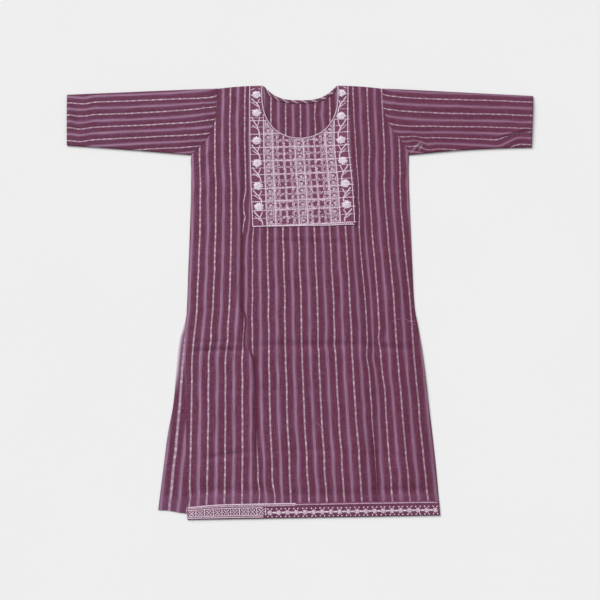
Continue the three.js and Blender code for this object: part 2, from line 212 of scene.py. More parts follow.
# Creases as strokes: across, down, angle, half length, half width, height.
# The angle is in degrees from straight across, turning up on the right. ANGLE is its column.
ANGLE = {2}
FRONT_CREASES = mm([
    (30, 671.5, 0, 175, 8.5, -3.1), (20, 695, 0, 160, 10, 1.0),
    (215, 676.5, -3, 85, 8.5, -3.4), (200, 700, 0, 90, 24, -0.8),
    (-185, 682, 1, 90, 6, -3.4), (-185, 662, 0, 80, 4, -1.6),
    (-150, 905, 8, 66, 5.5, -3.0), (-190, 880, 4, 60, 9, 1.0),
    (0, 896, 1, 100, 7, -1.3), (150, 905, -2, 100, 8, -1.2),
    (-150, 977, 0, 110, 9, -3.6), (40, 985, 0, 130, 7, -2.6),
    (215, 976, 0, 85, 8.5, -3.6), (-60, 770, 0, 190, 7, -1.1),
    (160, 766, 1, 100, 7, 0.9), (-190, 456, 2, 70, 5, 1.4),
    (195, 455, -3, 60, 7, 1.3), (30, 414, -1, 150, 7, 1.4),
    (20, 427, -1, 130, 7, -1.2), (0, 515, 1, 140, 9, 0.8),
    (-235, 215, 52, 60, 5.5, 1.8), (-222, 245, 60, 70, 6, -1.3),
    (-205, 262, 66, 80, 7, 1.4), (-180, 330, 84, 90, 7, 1.0),
    (-216, 390, 88, 110, 6, 1.0), (-160, 520, 91, 120, 7, -0.8),
    (238, 212, -50, 55, 5.5, 1.8), (224, 240, -58, 70, 6, -1.3),
    (206, 272, -68, 80, 7, 1.4), (186, 345, -86, 100, 7, 1.0),
    (142, 350, -97, 60, 5, 1.8), (133, 356, -97, 55, 4.5, -1.4),
    (172, 600, -80, 60, 6, 1.4), (182, 610, -80, 60, 6, -1.0),
    (176, 685, 74, 45, 5, 1.4), (214, 560, 92, 120, 7, 1.0),
    (220, 800, 82, 140, 8, 1.1), (-190, 560, 90, 130, 7, 1.0),
    (-180, 790, 93, 140, 8, 1.0), (-205, 850, 91, 120, 6, -0.8),
    (-108, 683, -52, 26, 3, 1.4), (-132, 642, -60, 35, 4, 1.2),
    (-150, 705, 64, 45, 4.5, 1.0), (-86, 970, -66, 36, 4.5, 1.6),
    (-66, 978, -62, 32, 4.5, 1.2), (-40, 560, 88, 130, 9, 0.7),
    (48, 520, 92, 100, 9, 0.7), (84, 600, 91, 140, 8, 0.7),
    (20, 850, 94, 120, 9, 0.9), (85, 880, 95, 130, 9, 0.9),
    (-30, 965, 96, 60, 7, 1.0), (200, 950, 96, 70, 7, 1.1),
    (120, 955, 93, 60, 7, 0.9), (-150, 960, 92, 60, 7, 0.9),
    (160, 40, 84, 50, 5.5, 1.0), (-165, 50, 96, 60, 5.5, 1.0),
    (180, 130, 80, 60, 6, 1.1), (-182, 140, 98, 60, 6, 1.1),
], ANGLE)

# Most of the back's creases lie hidden under the front
BACK_CREASES = mm([
    (48, 80, -62, 45, 4, 1.2), (60, 105, -66, 50, 4.5, 1.0),
    (-55, 100, 70, 40, 5, 0.6), (0, 120, 88, 50, 7, 0.5),
    (-255, 700, 80, 60, 5, 0.8), (-262, 870, 86, 70, 6, 0.8),
    (-240, 940, 84, 60, 6, 0.6), (10, 660, 0, 240, 5, 0.5),
    (-10, 380, 2, 200, 6, 0.4), (-130, 560, 90, 300, 6, 0.5),
    (140, 560, 90, 300, 6, 0.5),
], ANGLE)

SLEEVE_CREASES = {
    "left": mm([
        (-232, 60, 100, 50, 5, 1.2), (-262, 150, 128, 60, 5.5, 1.6),
        (-280, 180, 142, 50, 5, -1.0), (-300, 120, 170, 70, 6, 1.1),
        (-360, 75, 3, 100, 6.5, 0.9), (-410, 130, 176, 90, 7, 1.0),
        (-480, 70, 5, 80, 6, 0.9), (-500, 125, 8, 70, 6, -0.8),
        (-532, 100, 96, 60, 6, -1.2), (-548, 100, 94, 60, 6, 1.0),
    ], ANGLE),
    "right": mm([
        (228, 55, 80, 50, 5, 1.2), (273, 178, 42, 26, 2.8, 4.2),
        (284, 181, 60, 20, 2.6, 3.0), (279, 186, 50, 18, 2.2, -2.0),
        (262, 158, 30, 40, 4.5, 1.2), (300, 120, 8, 70, 6, 1.1),
        (350, 70, -3, 100, 6.5, 0.9), (400, 128, 2, 90, 7, 1.0),
        (452, 60, 88, 60, 5, 0.9), (470, 100, -2, 80, 6, -0.7),
        (508, 136, 17, 52, 4, 2.4), (512, 145, 17, 50, 4.5, -1.6),
    ], ANGLE),
}

# Painted highlights on the two pleat edges under the right arm: as creases, with a strength for
# the height
PLEAT_HIGHLIGHTS = mm([(273.3, 176.3, 48, 24, 1.4, 0.60), (284.1, 176.2, 61, 12, 1.3, 0.60)],
                 {2, 5})

# How the sleeves' stripes sag: share along, share across, reach along, reach across, sag
SLEEVE_SAGS = {
    "left": [(0.0, 0.16, 0.20, 0.10, 0.009), (0.0, 0.80, 0.22, 0.35, 0.009),
             (0.45, 0.45, 0.42, 0.60, 0.0035)],
    "right": [(0.0, 0.66, 0.25, 0.22, 0.016), (0.35, 0.55, 0.30, 0.35, 0.007),
              (0.0, 0.30, 0.20, 0.14, 0.004), (0.9, 0.12, 0.55, 0.25, -0.005),
              (0.16, 0.93, 0.07, 0.10, 0.007), (0.10, 0.83, 0.045, 0.12, -0.007)],
}

# Ends of the cuffs, the bow of the sleeves' edges, and how the armhole pulls the stripes
CUFFS = {
    "left": {"top": (-CUFF_TO_CUFF / 2, 0.0275), "low": (-0.5495, 0.1700), "bow": 0.001,
             "pull": 0.012, "fade": 0.038},
    "right": {"top": (CUFF_TO_CUFF / 2, 0.0310), "low": (0.5455, 0.1755), "bow": 0.004,
              "pull": 0.009, "fade": 0.018},
}


def through(rows, column):
    """A smooth curve through one column of a table, against its first column."""
    at = np.array([row[0] for row in rows])
    value = np.array([row[column] for row in rows])
    slope = np.gradient(value, at) if len(rows) > 2 else np.full(2, np.diff(value) / np.diff(at))
    slope[1:-1] = (value[2:] - value[:-2]) / (at[2:] - at[:-2])

    def curve(place):
        place = np.asarray(place, float)
        i = np.clip(np.searchsorted(at, place, side="right") - 1, 0, len(at) - 2)
        span = at[i + 1] - at[i]
        t = np.clip((place - at[i]) / span, 0, 1)
        rise = value[i + 1] - value[i]
        first = slope[i] * span - rise
        second = rise - slope[i + 1] * span
        return value[i] + t * rise + t * (1 - t) * ((1 - t) * first + t * second)

    return curve


def smooth(t):
    t = np.clip(t, 0, 1)
    return t * t * (3 - 2 * t)


def mix(a, b, t):
    return a + (b - a) * t


def beyond(place, line, soft):
    """0 before a line and 1 beyond it, eased over a soft width."""
    return 0.5 * (1 + np.tanh((place - line) / soft))


def hump(off, half):
    """1 on a line, fading away to both sides of it."""
    return np.exp(-(off / half) ** 2)


def run_length(x, y):
    """How far along a line each of its points lies."""
    return np.concatenate([[0], np.cumsum(np.hypot(np.diff(x), np.diff(y)))])


front_left, front_right = through(FRONT_SIDES, 1), through(FRONT_SIDES, 2)
back_left, back_right = through(BACK_SIDES, 1), through(BACK_SIDES, 2)
front_hem, back_hem = through(FRONT_HEM, 1), through(BACK_HEM, 1)
weave = [through(FRONT_WEAVE, column) for column in range(1, 8)]
back_middle = through(BACK_WEAVE, 1)
tuck_line, tuck_hidden = through(TUCK, 1), through(TUCK, 2)
right_line, right_hidden = through(RIGHT_TUCK, 1), through(RIGHT_TUCK, 2)
yoke_left, yoke_right = through(YOKE_SIDES, 1), through(YOKE_SIDES, 2)
yoke_rise = through(YOKE_SIDES, 3)
long_folds = [(height, half, points[0][0], points[-1][0], through(points, 1))
              for height, half, points in LONG_FOLDS]


def shoulder_down(x):
    out = np.maximum(np.abs(x) - SHOULDER_INNER, 0) / (SHOULDER_OUTER - SHOULDER_INNER)
    return SHOULDER_DROP * out * out


def ripple(x, y, size, seed):
    """Gentle noise on the page, the same each run."""
    points = zip(np.ravel(x) / size, np.ravel(y) / size)
    values = [noise.noise(Vector((a, b, seed))) for a, b in points]
    return np.reshape(values, np.shape(x))


def strokes(x, down, creases):
    """Soft ridges and troughs, each a stroke that fades to its ends and sides."""
    total = np.zeros_like(x)
    for across, middle, angle, reach, half, height in creases:
        turn = math.radians(angle)
        dx, dy = x - across, middle - down
        along = dx * math.cos(turn) + dy * math.sin(turn)
        aside = -dx * math.sin(turn) + dy * math.cos(turn)
        bend = 0.02 * reach * (1 - (along / reach) ** 2)
        fade = smooth(1.5 * (1 - np.abs(along) / reach))
        total += height * fade * hump(aside - bend, half)
    return total


def kinked(x, down):
    """How far the stripes are pushed aside at the creases."""
    total = np.zeros_like(x)
    for across, middle, wide, tall, shift in KINKS:
        total -= shift * hump(x - across, wide) * hump(down - middle, tall)
    return total


def in_yoke(x, down):
    """1 under the yoke, fading to 0 just outside it."""
    side = np.minimum(x - yoke_left(down), yoke_right(down) - x) + 0.004
    return smooth(side / 0.006) * smooth((YOKE_DEPTH + 0.006 - down) / 0.008)


def front_base(x, y, fine=0.0):
    """Underside of the front with its long folds, and with finer creases if given."""
    down = TOP - y
    from_side = np.minimum(x - front_left(down), front_right(down) - x)
    from_ends = np.minimum(down - shoulder_down(x), (front_hem(x) - down) * 1.3)
    inside = smooth(from_side / 0.040) * smooth(from_ends / 0.040)
    lift = mix(PUFF_TOP, PUFF_LOW, smooth((down - 0.40) / 0.10))
    for height, half, first, last, line in long_folds:
        ends = smooth((down - first) / 0.09) * smooth((last - down) / 0.06)
        lift += height * ends * hump(x - line(down), half)
    past = np.where(down > SLIT_DOWN, x - back_right(down) - OVERHANG, 0)
    drop = (WALL + GAP) * smooth(past / 0.014)
    lift += fine * (1 - in_yoke(x, down))
    room = np.clip(front_hem(x) - back_hem(x), 0.001, 0.008)
    drop = np.maximum(drop, (WALL + GAP) * smooth(1 - (front_hem(x) - down) / room))
    return WALL + GAP + inside * np.maximum(lift, 0.0002) - drop


def front_under(x, y):
    """Underside of the front with its small creases too, which stop at the yoke."""
    down = TOP - y
    fine = strokes(x, down, FRONT_CREASES)
    fine += 0.0011 * ripple(x, y, 0.085, 3.1) + 0.0006 * ripple(x, y, 0.030, 7.7)
    fine += 0.0006 * smooth((down - FRONT_TURNED_UP + 0.004) / 0.005)
    return front_base(x, y, fine)


def yoke_under(x, y):
    return front_base(x, y) + CLOTH + 0.0001 + 0.0001 * (1 + ripple(x, y, 0.012, 5.5))


def yoke_top(x, y):
    return yoke_under(x, y) + YOKE_CLOTH


def back_top(x, y):
    down = TOP - y
    left = back_left(down)
    fine = strokes(x, down, BACK_CREASES) + 0.0002 * ripple(x, y, 0.05, 2.2)
    room = smooth((x - left) / 0.012) * smooth((back_right(down) - x) / 0.012)
    return np.full_like(x, WALL) + np.clip(fine, 0, 0.0015) * room


# Grids of points on the page, one row for each distance down
def rows_down(marks, step):
    """Distances from the first mark to the last, close to a step apart."""
    values = [np.linspace(a, b, max(2, round((b - a) / step) + 1))[:-1]
              for a, b in zip(marks[:-1], marks[1:])]
    return np.append(np.concatenate(values), marks[-1])


def front_neck_points(grow, angles):
    depth = (FRONT_NECK_DEPTH + grow) * np.sin(np.clip(angles, 0, math.pi)) ** (2 / 3)
    return (NECK_HALF + grow) * np.cos(angles), TOP - depth


def body_grid(left, right, hem, neck, step_across, step_down, shoulder_in=0.0):
    """Rows from hem to shoulder between two side edges, with the neckline in the top rows."""
    edge = np.array([0, 0.0022, 0.0050])
    middle = np.linspace(0.0095, 1 - 0.0095, round(0.50 / step_across) + 1)
    share = np.concatenate([edge, middle, 1 - edge[::-1]])
    split = 0.215
    fine = 0.6 * step_down
    marks = np.concatenate([rows_down([split, 0.45, 0.64], step_down)[:-1],
                            rows_down([0.64, 0.70], fine)[:-1],
                            rows_down([0.70, 0.88], step_down)[:-1],
                            rows_down([0.88, 1.0], fine)])
    xs, ys = [], []
    ease = smooth((marks - 0.90) / 0.10)
    for down, e in zip(marks[::-1], ease[::-1]):
        x = mix(left(down), right(down), share)
        low = hem(x)
        y = TOP - mix(down, low, e) if down > 0.90 else np.full_like(x, TOP - down)
        xs.append(mix(left(TOP - y), right(TOP - y), share))
        ys.append(y)
    first_x, first_y = xs[-1], ys[-1]
    top_x = mix(-SHOULDER_OUTER + 0.0005, SHOULDER_OUTER + 0.0003, share)
    inwards = shoulder_in * smooth((np.abs(top_x) - SHOULDER_INNER) / 0.012)
    top_y = TOP - np.maximum(shoulder_down(top_x), neck(top_x)) - inwards
    corner_left, corner_right = top_y[0], top_y[-1]
    climb = np.append(np.linspace(0, 0.980, round(split / step_down)), [0.989, 0.995, 1.0])
    for r in climb[1:]:
        side_y_left = mix(first_y[0], corner_left, r)
        side_y_right = mix(first_y[-1], corner_right, r)
        inner_left = left(TOP - side_y_left) - mix(first_x[0], top_x[0], r)
        inner_right = right(TOP - side_y_right) - mix(first_x[-1], top_x[-1], r)
        near = smooth(1 - share / 0.2), smooth(1 - (1 - share) / 0.2)
        xs.append(mix(first_x, top_x, r) + inner_left * near[0] + inner_right * near[1])
        ys.append(mix(first_y, top_y, r))
    return np.array(xs), np.array(ys)


def rolled_seam(x, down, under, over):
    """Turns the front's edges down to the floor along the side and shoulder seams."""
    side = np.minimum(x - front_left(down), front_right(down) - x)
    side = side + 0.02 * smooth((ARMHOLE_LOW + 0.004 - down) / 0.008)
    side = side + 0.02 * smooth((down - SLIT_DOWN) / 0.010)
    top = down - shoulder_down(x) + 0.02 * smooth((NECK_HALF + 0.001 - np.abs(x)) / 0.004)
    near = np.minimum(side, top)
    round_off = np.sqrt(1 - (1 - np.clip(near / SEAM_ROLL, 0, 1)) ** 2)
    low = mix(0.0003, under, smooth((near - 0.0018) / 0.0026))
    return np.minimum(under, low), mix(0.0008, over, round_off)


def front_neck_depth(x):
    inside = np.abs(x) < NECK_HALF
    share = np.clip(1 - (x / NECK_HALF) ** 2, 0, 1)
    return np.where(inside, FRONT_NECK_DEPTH * share ** (1 / 3), 0)


def back_neck_depth(x):
    return BACK_NECK_DEPTH * (1 - np.clip(np.abs(x) / SHOULDER_INNER, 0, 1) ** 3)


def placed(name, data):
    """A new object in the scene, at the origin."""
    obj = bpy.data.objects.new(name, data)
    bpy.context.collection.objects.link(obj)
    return obj


def mesh_object(name, points, faces, uv, marks):
    """An object at the origin from points and faces, with a weave map and marks per point."""
    mesh = bpy.data.meshes.new(name)
    mesh.from_pydata(points.tolist(), [], faces.tolist())
    loops = np.empty(len(mesh.loops), dtype=np.int32)
    mesh.loops.foreach_get("vertex_index", loops)
    layer = mesh.uv_layers.new(name="weave")
    layer.data.foreach_set("uv", uv[loops].astype(np.float32).ravel())
    for label, values in marks.items():
        attribute = mesh.attributes.new(label, "FLOAT", "POINT")
        attribute.data.foreach_set("value", values.astype(np.float32))
    mesh.polygons.foreach_set("use_smooth", np.ones(len(mesh.polygons), dtype=bool))
    mesh.update()
    return placed(name, mesh)


def quads(a, b, c, d):
    return np.stack([np.ravel(a), np.ravel(b), np.ravel(c), np.ravel(d)], axis=1)


def shell(name, x, y, under, over, u, v, marks=None):
    """A closed thin cloth over a grid whose rows run up the page."""
    rows, columns = x.shape
    layer = rows * columns
    points = np.concatenate([
        np.stack([x, y, under], axis=2).reshape(-1, 3),
        np.stack([x, y, over], axis=2).reshape(-1, 3),
    ])
    index = np.arange(layer).reshape(rows, columns)
    a, b = index[:-1, :-1], index[:-1, 1:]
    d, c = index[1:, :-1], index[1:, 1:]
    faces = [quads(a, d, c, b), quads(a, b, c, d) + layer]
    rim = np.concatenate([index[0, :-1], index[:-1, -1], index[-1, :0:-1], index[:0:-1, 0]])
    after = np.roll(rim, -1)
    faces.append(quads(rim, after, after + layer, rim + layer))
    uv = np.stack([np.ravel(u), np.ravel(v)], axis=1)
    doubled = {label: np.tile(np.ravel(m), 2) for label, m in (marks or {}).items()}
    return mesh_object(name, points, np.concatenate(faces), np.concatenate([uv, uv]), doubled)


# Materials
class Value:
    """A shader socket that takes part in sums."""

    def __init__(self, finish, socket):
        self.finish = finish
        self.socket = socket

    def __add__(self, other):
        return self.finish.sum("ADD", self, other)

    def __radd__(self, other):
        return self.finish.sum("ADD", other, self)

    def __sub__(self, other):
        return self.finish.sum("SUBTRACT", self, other)

    def __rsub__(self, other):
        return self.finish.sum("SUBTRACT", other, self)

    def __mul__(self, other):
        return self.finish.sum("MULTIPLY", self, other)

    def __rmul__(self, other):
        return self.finish.sum("MULTIPLY", other, self)

    def __truediv__(self, other):
        return self.finish.sum("DIVIDE", self, other)

    def __abs__(self):
        return self.finish.sum("ABSOLUTE", self)


class Finish:
    """A material: its nodes, its sums and its main shader."""

    def __init__(self, name, **constants):
        self.material = bpy.data.materials.new(name)
        self.material.use_nodes = True
        self.tree = self.material.node_tree
        self.shader = self.tree.nodes["Principled BSDF"]
        for socket, value in constants.items():
            self.shader.inputs[socket.replace("_", " ")].default_value = value

    def feed(self, socket, value):
        if isinstance(value, Value):
            self.tree.links.new(value.socket, socket)
        else:
            socket.default_value = value

    def node(self, kind, settings=None, inputs=None, output=0):
        made = self.tree.nodes.new(kind)
        for name, value in (settings or {}).items():
            setattr(made, name, value)
        for name, value in (inputs or {}).items():
            self.feed(made.inputs[name], value)
        return Value(self, made.outputs[output])

    def sum(self, operation, *values):
        inputs = dict(enumerate(values))
        return self.node("ShaderNodeMath", {"operation": operation}, inputs)

    def step(self, value, low, high):
        """0 below one value and 1 past the other, eased between them."""
        settings = {"interpolation_type": "SMOOTHSTEP"}
        return self.node("ShaderNodeMapRange", settings, {0: value, 1: low, 2: high})

    def blend(self, amount, first, second):
        settings = {"data_type": "RGBA", "blend_type": "MIX"}
        return self.node("ShaderNodeMix", settings, {0: amount, 6: first, 7: second}, 2)

    def vector(self, x, y, z=0.0):
        return self.node("ShaderNodeCombineXYZ", None, {0: x, 1: y, 2: z})

    def split(self, vector):
        made = self.tree.nodes.new("ShaderNodeSeparateXYZ")
        self.feed(made.inputs[0], vector)
        return [Value(self, output) for output in made.outputs]

    def grain(self, vector, scale, detail=2.0, roughness=0.5):
        inputs = {"Vector": vector, "Scale": scale, "Detail": detail, "Roughness": roughness}
        return self.node("ShaderNodeTexNoise", None, inputs)

    def weave_map(self):
        """The place on the weave: across the stripes, and along them."""
        made = self.node("ShaderNodeUVMap", {"uv_map": "weave"})
        self.u, self.v, _ = self.split(made)
        return self.u, self.v

    def streaks(self, across, along, detail):
        """Noise on the weave, with so many spots to the metre across and along the stripes."""
        return self.grain(self.vector(self.u * across, self.v * along), 1.0, detail)

    def layers(self, ground, coats):
        """Colours laid over a ground one after another, each with its share."""
        for share, colour in coats:
            ground = self.blend(share, ground, colour)
        return ground

    def mark(self, label):
        return self.node("ShaderNodeAttribute", {"attribute_name": label}, output=2)

    def close(self, colour, height, depth):
        self.feed(self.shader.inputs["Base Color"], colour)
        inputs = {"Strength": 1.0, "Distance": depth, "Height": height}
        bump = self.node("ShaderNodeBump", None, inputs)
        self.feed(self.shader.inputs["Normal"], bump)
        return self.material


def paint(red, green, blue):
    """A colour given as it shows on a screen, 0 to 255."""
    def linear(c):
        c /= 255
        return c / 12.92 if c <= 0.04045 else ((c + 0.055) / 1.055) ** 2.4
    return (linear(red), linear(green), linear(blue), 1.0)


PLUM = paint(108, 70, 86)
MAROON = paint(96, 38, 60)
DEEP_PLUM = paint(88, 40, 58)
# Painted shade for the folds of the tucks
TUCK_PAINTED_SHADE = paint(78, 34, 46)
PURPLE = paint(101, 46, 84)
VIOLET = paint(134, 92, 126)
LILAC = paint(158, 123, 155)
MAUVE = paint(160, 122, 142)
MAUVE_GREY = paint(134, 102, 120)
WHITE_THREAD = paint(212, 192, 208)
DULL_THREAD = paint(180, 152, 172)
DIM_THREAD = paint(162, 130, 150)


def weave_height(f, u, v):
    """Plain weave: warp and weft that go over and under."""
    turn = 2 * math.pi / WEAVE_PITCH
    warp = f.sum("SINE", u * turn)
    weft = f.sum("SINE", v * turn)
    return warp * weft * 0.25 + f.grain(f.vector(u, v), 900.0, 1.0) * 0.4


def striped_cloth(name):
    """Plum cotton with thin beaded white stripes and wider mauve ones of several threads."""
    f = Finish(name, Roughness=0.92, Sheen_Weight=0.05, Sheen_Roughness=0.5,
               Specular_IOR_Level=0.12)
    u, v = f.weave_map()
    across = u + (f.streaks(6.0, 26.0, 3.0) - 0.5) * 0.0024
    stripe = across / STRIPE
    number = f.sum("ROUND", stripe)
    from_white = abs(across - number * STRIPE)
    from_mauve = abs(across - (f.sum("FLOOR", stripe) + 0.5) * STRIPE)
    own = f.node("ShaderNodeTexWhiteNoise", {"noise_dimensions": "1D"}, {"W": number})
    patchy = f.streaks(30.0, 70.0, 3.0)
    # The tuck mark hides the stripes in a fold and paints shade along it
    tuck_fold_and_shade = f.mark("tuck_fold_and_shade")
    beat = abs(f.sum("FRACT", v / BEAD_PITCH + own * 5.0 + patchy * 1.6) - 0.5)
    bead = (1 - f.step(beat, 0.08, 0.26)) * f.step(patchy, 0.30, 0.60)
    white = 1 - f.step(from_white / (f.mark("bold") * 0.6 + 1.0), 0.0008, 0.0025)
    white = white * (1 - f.step(tuck_fold_and_shade, 0.25, 0.60))
    threads = f.streaks(1300.0, 10.0, 2.0)
    strands = f.streaks(420.0, 14.0, 3.0)
    slubs = f.streaks(300.0, 120.0, 3.0)
    blotch = f.streaks(110.0, 60.0, 3.0)
    wefts = f.streaks(25.0, 800.0, 2.0)
    picks = f.streaks(14.0, 260.0, 2.0)
    specks = f.streaks(480.0, 300.0, 2.0)
    core = (1 - f.step(from_mauve, 0.0012, 0.0040)) * (f.step(strands, 0.25, 0.58) * 0.5 + 0.5)
    shoulder = (1 - f.step(from_mauve, 0.0030, 0.0082)) * f.step(strands, 0.38, 0.60)
    ground = f.layers(f.blend(f.step(strands, 0.40, 0.60), MAROON, PURPLE), (
        (f.step(slubs, 0.42, 0.60) * 0.55, PLUM),
        (f.step(blotch, 0.44, 0.62) * 0.55, MAROON),
        ((1 - f.step(from_white, 0.0018, 0.0060)) * 0.4, DEEP_PLUM),
        (f.step(wefts, 0.60, 0.80) * 0.20, MAUVE),
        (f.step(specks, 0.48, 0.62) * 0.45, PLUM),
        (f.step(picks, 0.52, 0.74) * 0.22, VIOLET),
        (f.step(threads, 0.5, 0.8) * 0.30, MAUVE_GREY),
    ))
    mauve = f.blend(f.step(blotch, 0.40, 0.60), LILAC, MAUVE)
    mauve = f.blend(f.step(specks, 0.46, 0.60) * 0.5, mauve, MAUVE_GREY)
    dim = f.blend(f.step(slubs, 0.35, 0.65), DIM_THREAD, DULL_THREAD)
    place = f.split(f.node("ShaderNodeTexCoord", output=3))[0]
    colour = f.layers(ground, (
        (shoulder * 0.65, VIOLET),
        (core * (1 - tuck_fold_and_shade * 0.5), mauve),
        (white * 0.95, f.blend(bead, dim, WHITE_THREAD)),
        (f.mark("double") * 0.25, VIOLET),
        # Painted highlight along the edges of the right sleeve's two pleat folds; on the back,
        # the pale turned edge by the slit
        (f.mark("pale") * 0.95, WHITE_THREAD),
        # Painted shade down the tucks' folds
        (tuck_fold_and_shade * 0.75, TUCK_PAINTED_SHADE),
        # Painted shade: the cloth grows darker towards the right, away from the light
        (f.step(place, -0.25, 0.30) * 0.26, MAROON),
    ))
    height = weave_height(f, u, v) + white * (bead * 0.8 + 0.8) + core * 0.7
    crinkle, rumple = f.streaks(120.0, 16.0, 3.0), f.streaks(45.0, 60.0, 3.0)
    return f.close(colour, height + crinkle * 1.6 + rumple * 2.2, 0.00035)


def embroidered_ground():
    """The yoke's own cloth, which shows between the stitches."""
    f = Finish("embroidered_ground", Roughness=0.9, Sheen_Weight=0.1, Specular_IOR_Level=0.2)
    u, v = f.weave_map()
    threads, cross_threads = f.streaks(1400.0, 60.0, 2.0), f.streaks(60.0, 1400.0, 2.0)
    ground = f.blend(f.step(threads, 0.3, 0.7), paint(102, 48, 73), paint(125, 72, 104))
    ground = f.blend(f.step(cross_threads, 0.5, 0.8) * 0.25, ground, MAUVE)
    return f.close(ground, weave_height(f, u, v) + threads * 0.4, 0.00035)


def embroidery_thread(name, light, dark):
    """Off-white cotton thread, with a twist and small changes of tone from stitch to stitch."""
    f = Finish(name, Roughness=0.7, Sheen_Weight=0.2, Specular_IOR_Level=0.35)
    place = f.node("ShaderNodeTexCoord", output=3)
    x, y = f.split(place)[:2]
    tone = f.grain(place, 260.0, 2.0)
    ply = f.sum("SINE", (x + y) * (2 * math.pi / 0.0009))
    colour = f.blend(f.step(tone, 0.32, 0.68), dark, light)
    return f.close(colour, ply * 0.4 + f.grain(place, 1800.0, 1.0) * 0.6, 0.0002)


def bias_cloth():
    """The striped cloth cut on the bias: its stripes run slantwise along the strip."""
    f = Finish("bias_cloth", Roughness=0.9, Sheen_Weight=0.1, Specular_IOR_Level=0.2)
    u, v = f.weave_map()
    slant = u + v * 1.3
    number = f.sum("ROUND", slant / BIAS_PITCH)
    from_line = abs(slant - number * BIAS_PITCH)
    patchy = f.streaks(120.0, 120.0, 2.0)
    line = (1 - f.step(from_line, 0.0020, 0.0050)) * (patchy * 0.9 + 0.45)
    faint = f.step(from_line, 0.0100, 0.0114) * patchy
    ground = f.blend(patchy, DEEP_PLUM, PLUM)
    ground = f.blend(faint * 0.5, ground, MAUVE_GREY)
    colour = f.blend(line * 0.85, ground, paint(194, 162, 184))
    return f.close(colour, weave_height(f, u, v) + line, 0.0003)


def floor_finish():
    f = Finish("pale_floor", Roughness=0.95, Specular_IOR_Level=0.1)
    place = f.node("ShaderNodeTexCoord", output=3)
    tone = f.grain(place, 3.0, 2.0)
    colour = f.blend(tone, paint(228, 228, 228), paint(230, 230, 230))
    return f.close(colour, f.grain(place, 400.0, 2.0), 0.00005)


cloth_finish = striped_cloth("striped_cotton")
yoke_finish = embroidered_ground()
thread_finish = embroidery_thread("white_thread", paint(240, 218, 234), paint(214, 188, 206))
bloom_finish = embroidery_thread("bloom_thread", paint(243, 232, 242), paint(210, 190, 208))
soft_thread_finish = embroidery_thread("soft_thread", paint(208, 174, 196), paint(168, 128, 154))
plum_thread_finish = embroidery_thread("plum_thread", paint(120, 80, 104), paint(92, 52, 74))
bias_finish = bias_cloth()


def dress(obj, material, slot, *nodes):
    """Material, body and the solids that a piece stands for. The slot is not used."""
    obj.data.materials.append(material)
    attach(obj, "root")
    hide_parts(*nodes)


# Cloth pieces
def front_cloth():
    x, y = body_grid(front_left, front_right, front_hem, front_neck_depth, 0.0040, 0.0038)
    down = TOP - y
    middle, left, left_take, left_soft, right, right_take, right_soft = [c(down) for c in weave]
    gone_left, gone_right = beyond(left, x, left_soft), beyond(x, right, right_soft)
    line = tuck_line(down)
    hidden = np.where((down > TUCK[0][0]) & (down < TUCK[-1][0]), tuck_hidden(down), 0)
    second = right_line(down)
    closed = np.where(down > RIGHT_TUCK[0][0], right_hidden(down), 0)
    u = x - middle + (right_take - closed) * gone_right - (left_take - hidden) * gone_left
    u += closed * beyond(x, second, FOLD_SOFT) - hidden * beyond(line, x, FOLD_SOFT)
    # Mark for the tucks: it hides the stripes in each fold and paints shade along it
    tuck_fold_and_shade = hidden / TUCK_FULL * hump(x - line, TUCK_SHADE_HALF)
    tuck_fold_and_shade += closed / RIGHT_TUCK_FULL * hump(x - second, TUCK_SHADE_HALF)
    u += kinked(x, down) + 0.0010 * ripple(x, y, 0.05, 11.0)
    thin = smooth((x + 0.06) / 0.05) * (x < second)
    double = smooth((down - FRONT_TURNED_UP) / 0.003) * (1 - 0.7 * thin)
    under = front_under(x, y)
    step = 0.0003 * double
    marks = {"double": double, "tuck_fold_and_shade": tuck_fold_and_shade}
    under, over = rolled_seam(x, down, under, under + CLOTH + step)
    obj = shell("front_cloth", x, y, under, over, u, down, marks)
    dress(obj, cloth_finish, "striped_cloth", "front_panel")


def back_cloth():
    def inside(down):
        """How far the back's edge lies inside the rolled side seam."""
        below_arm = smooth((down - ARMHOLE_LOW) / 0.01)
        return SEAM_INSIDE * below_arm * smooth((SLIT_DOWN + 0.004 - down) / 0.012)

    x, y = body_grid(lambda down: back_left(down) + inside(down),
                     lambda down: back_right(down) - inside(down),
                     back_hem, back_neck_depth, 0.0060, 0.0060, SEAM_INSIDE)
    down = TOP - y
    u = x - back_middle(down) + kinked(x, down) + 0.0008 * ripple(x, y, 0.07, 4.0)
    bold = hump(u + 7 * STRIPE, 0.008) * smooth((down - 0.55) / 0.05)
    double = smooth((down - (back_hem(x) - BACK_TURNED_UP)) / 0.004)
    window = smooth((down - 0.602) / 0.012) * smooth((0.780 - down) / 0.070)
    pale = hump(x - back_left(down) - 0.0010, 0.0036) * window
    over = back_top(x, y)
    under = np.zeros_like(x) + np.clip(over - WALL, 0, 0.001) * 0.8
    marks = {"double": double, "bold": bold, "pale": pale}
    obj = shell("back_cloth", x, y, under, over, u, down, marks)
    dress(obj, cloth_finish, "striped_cloth", "back_panel")


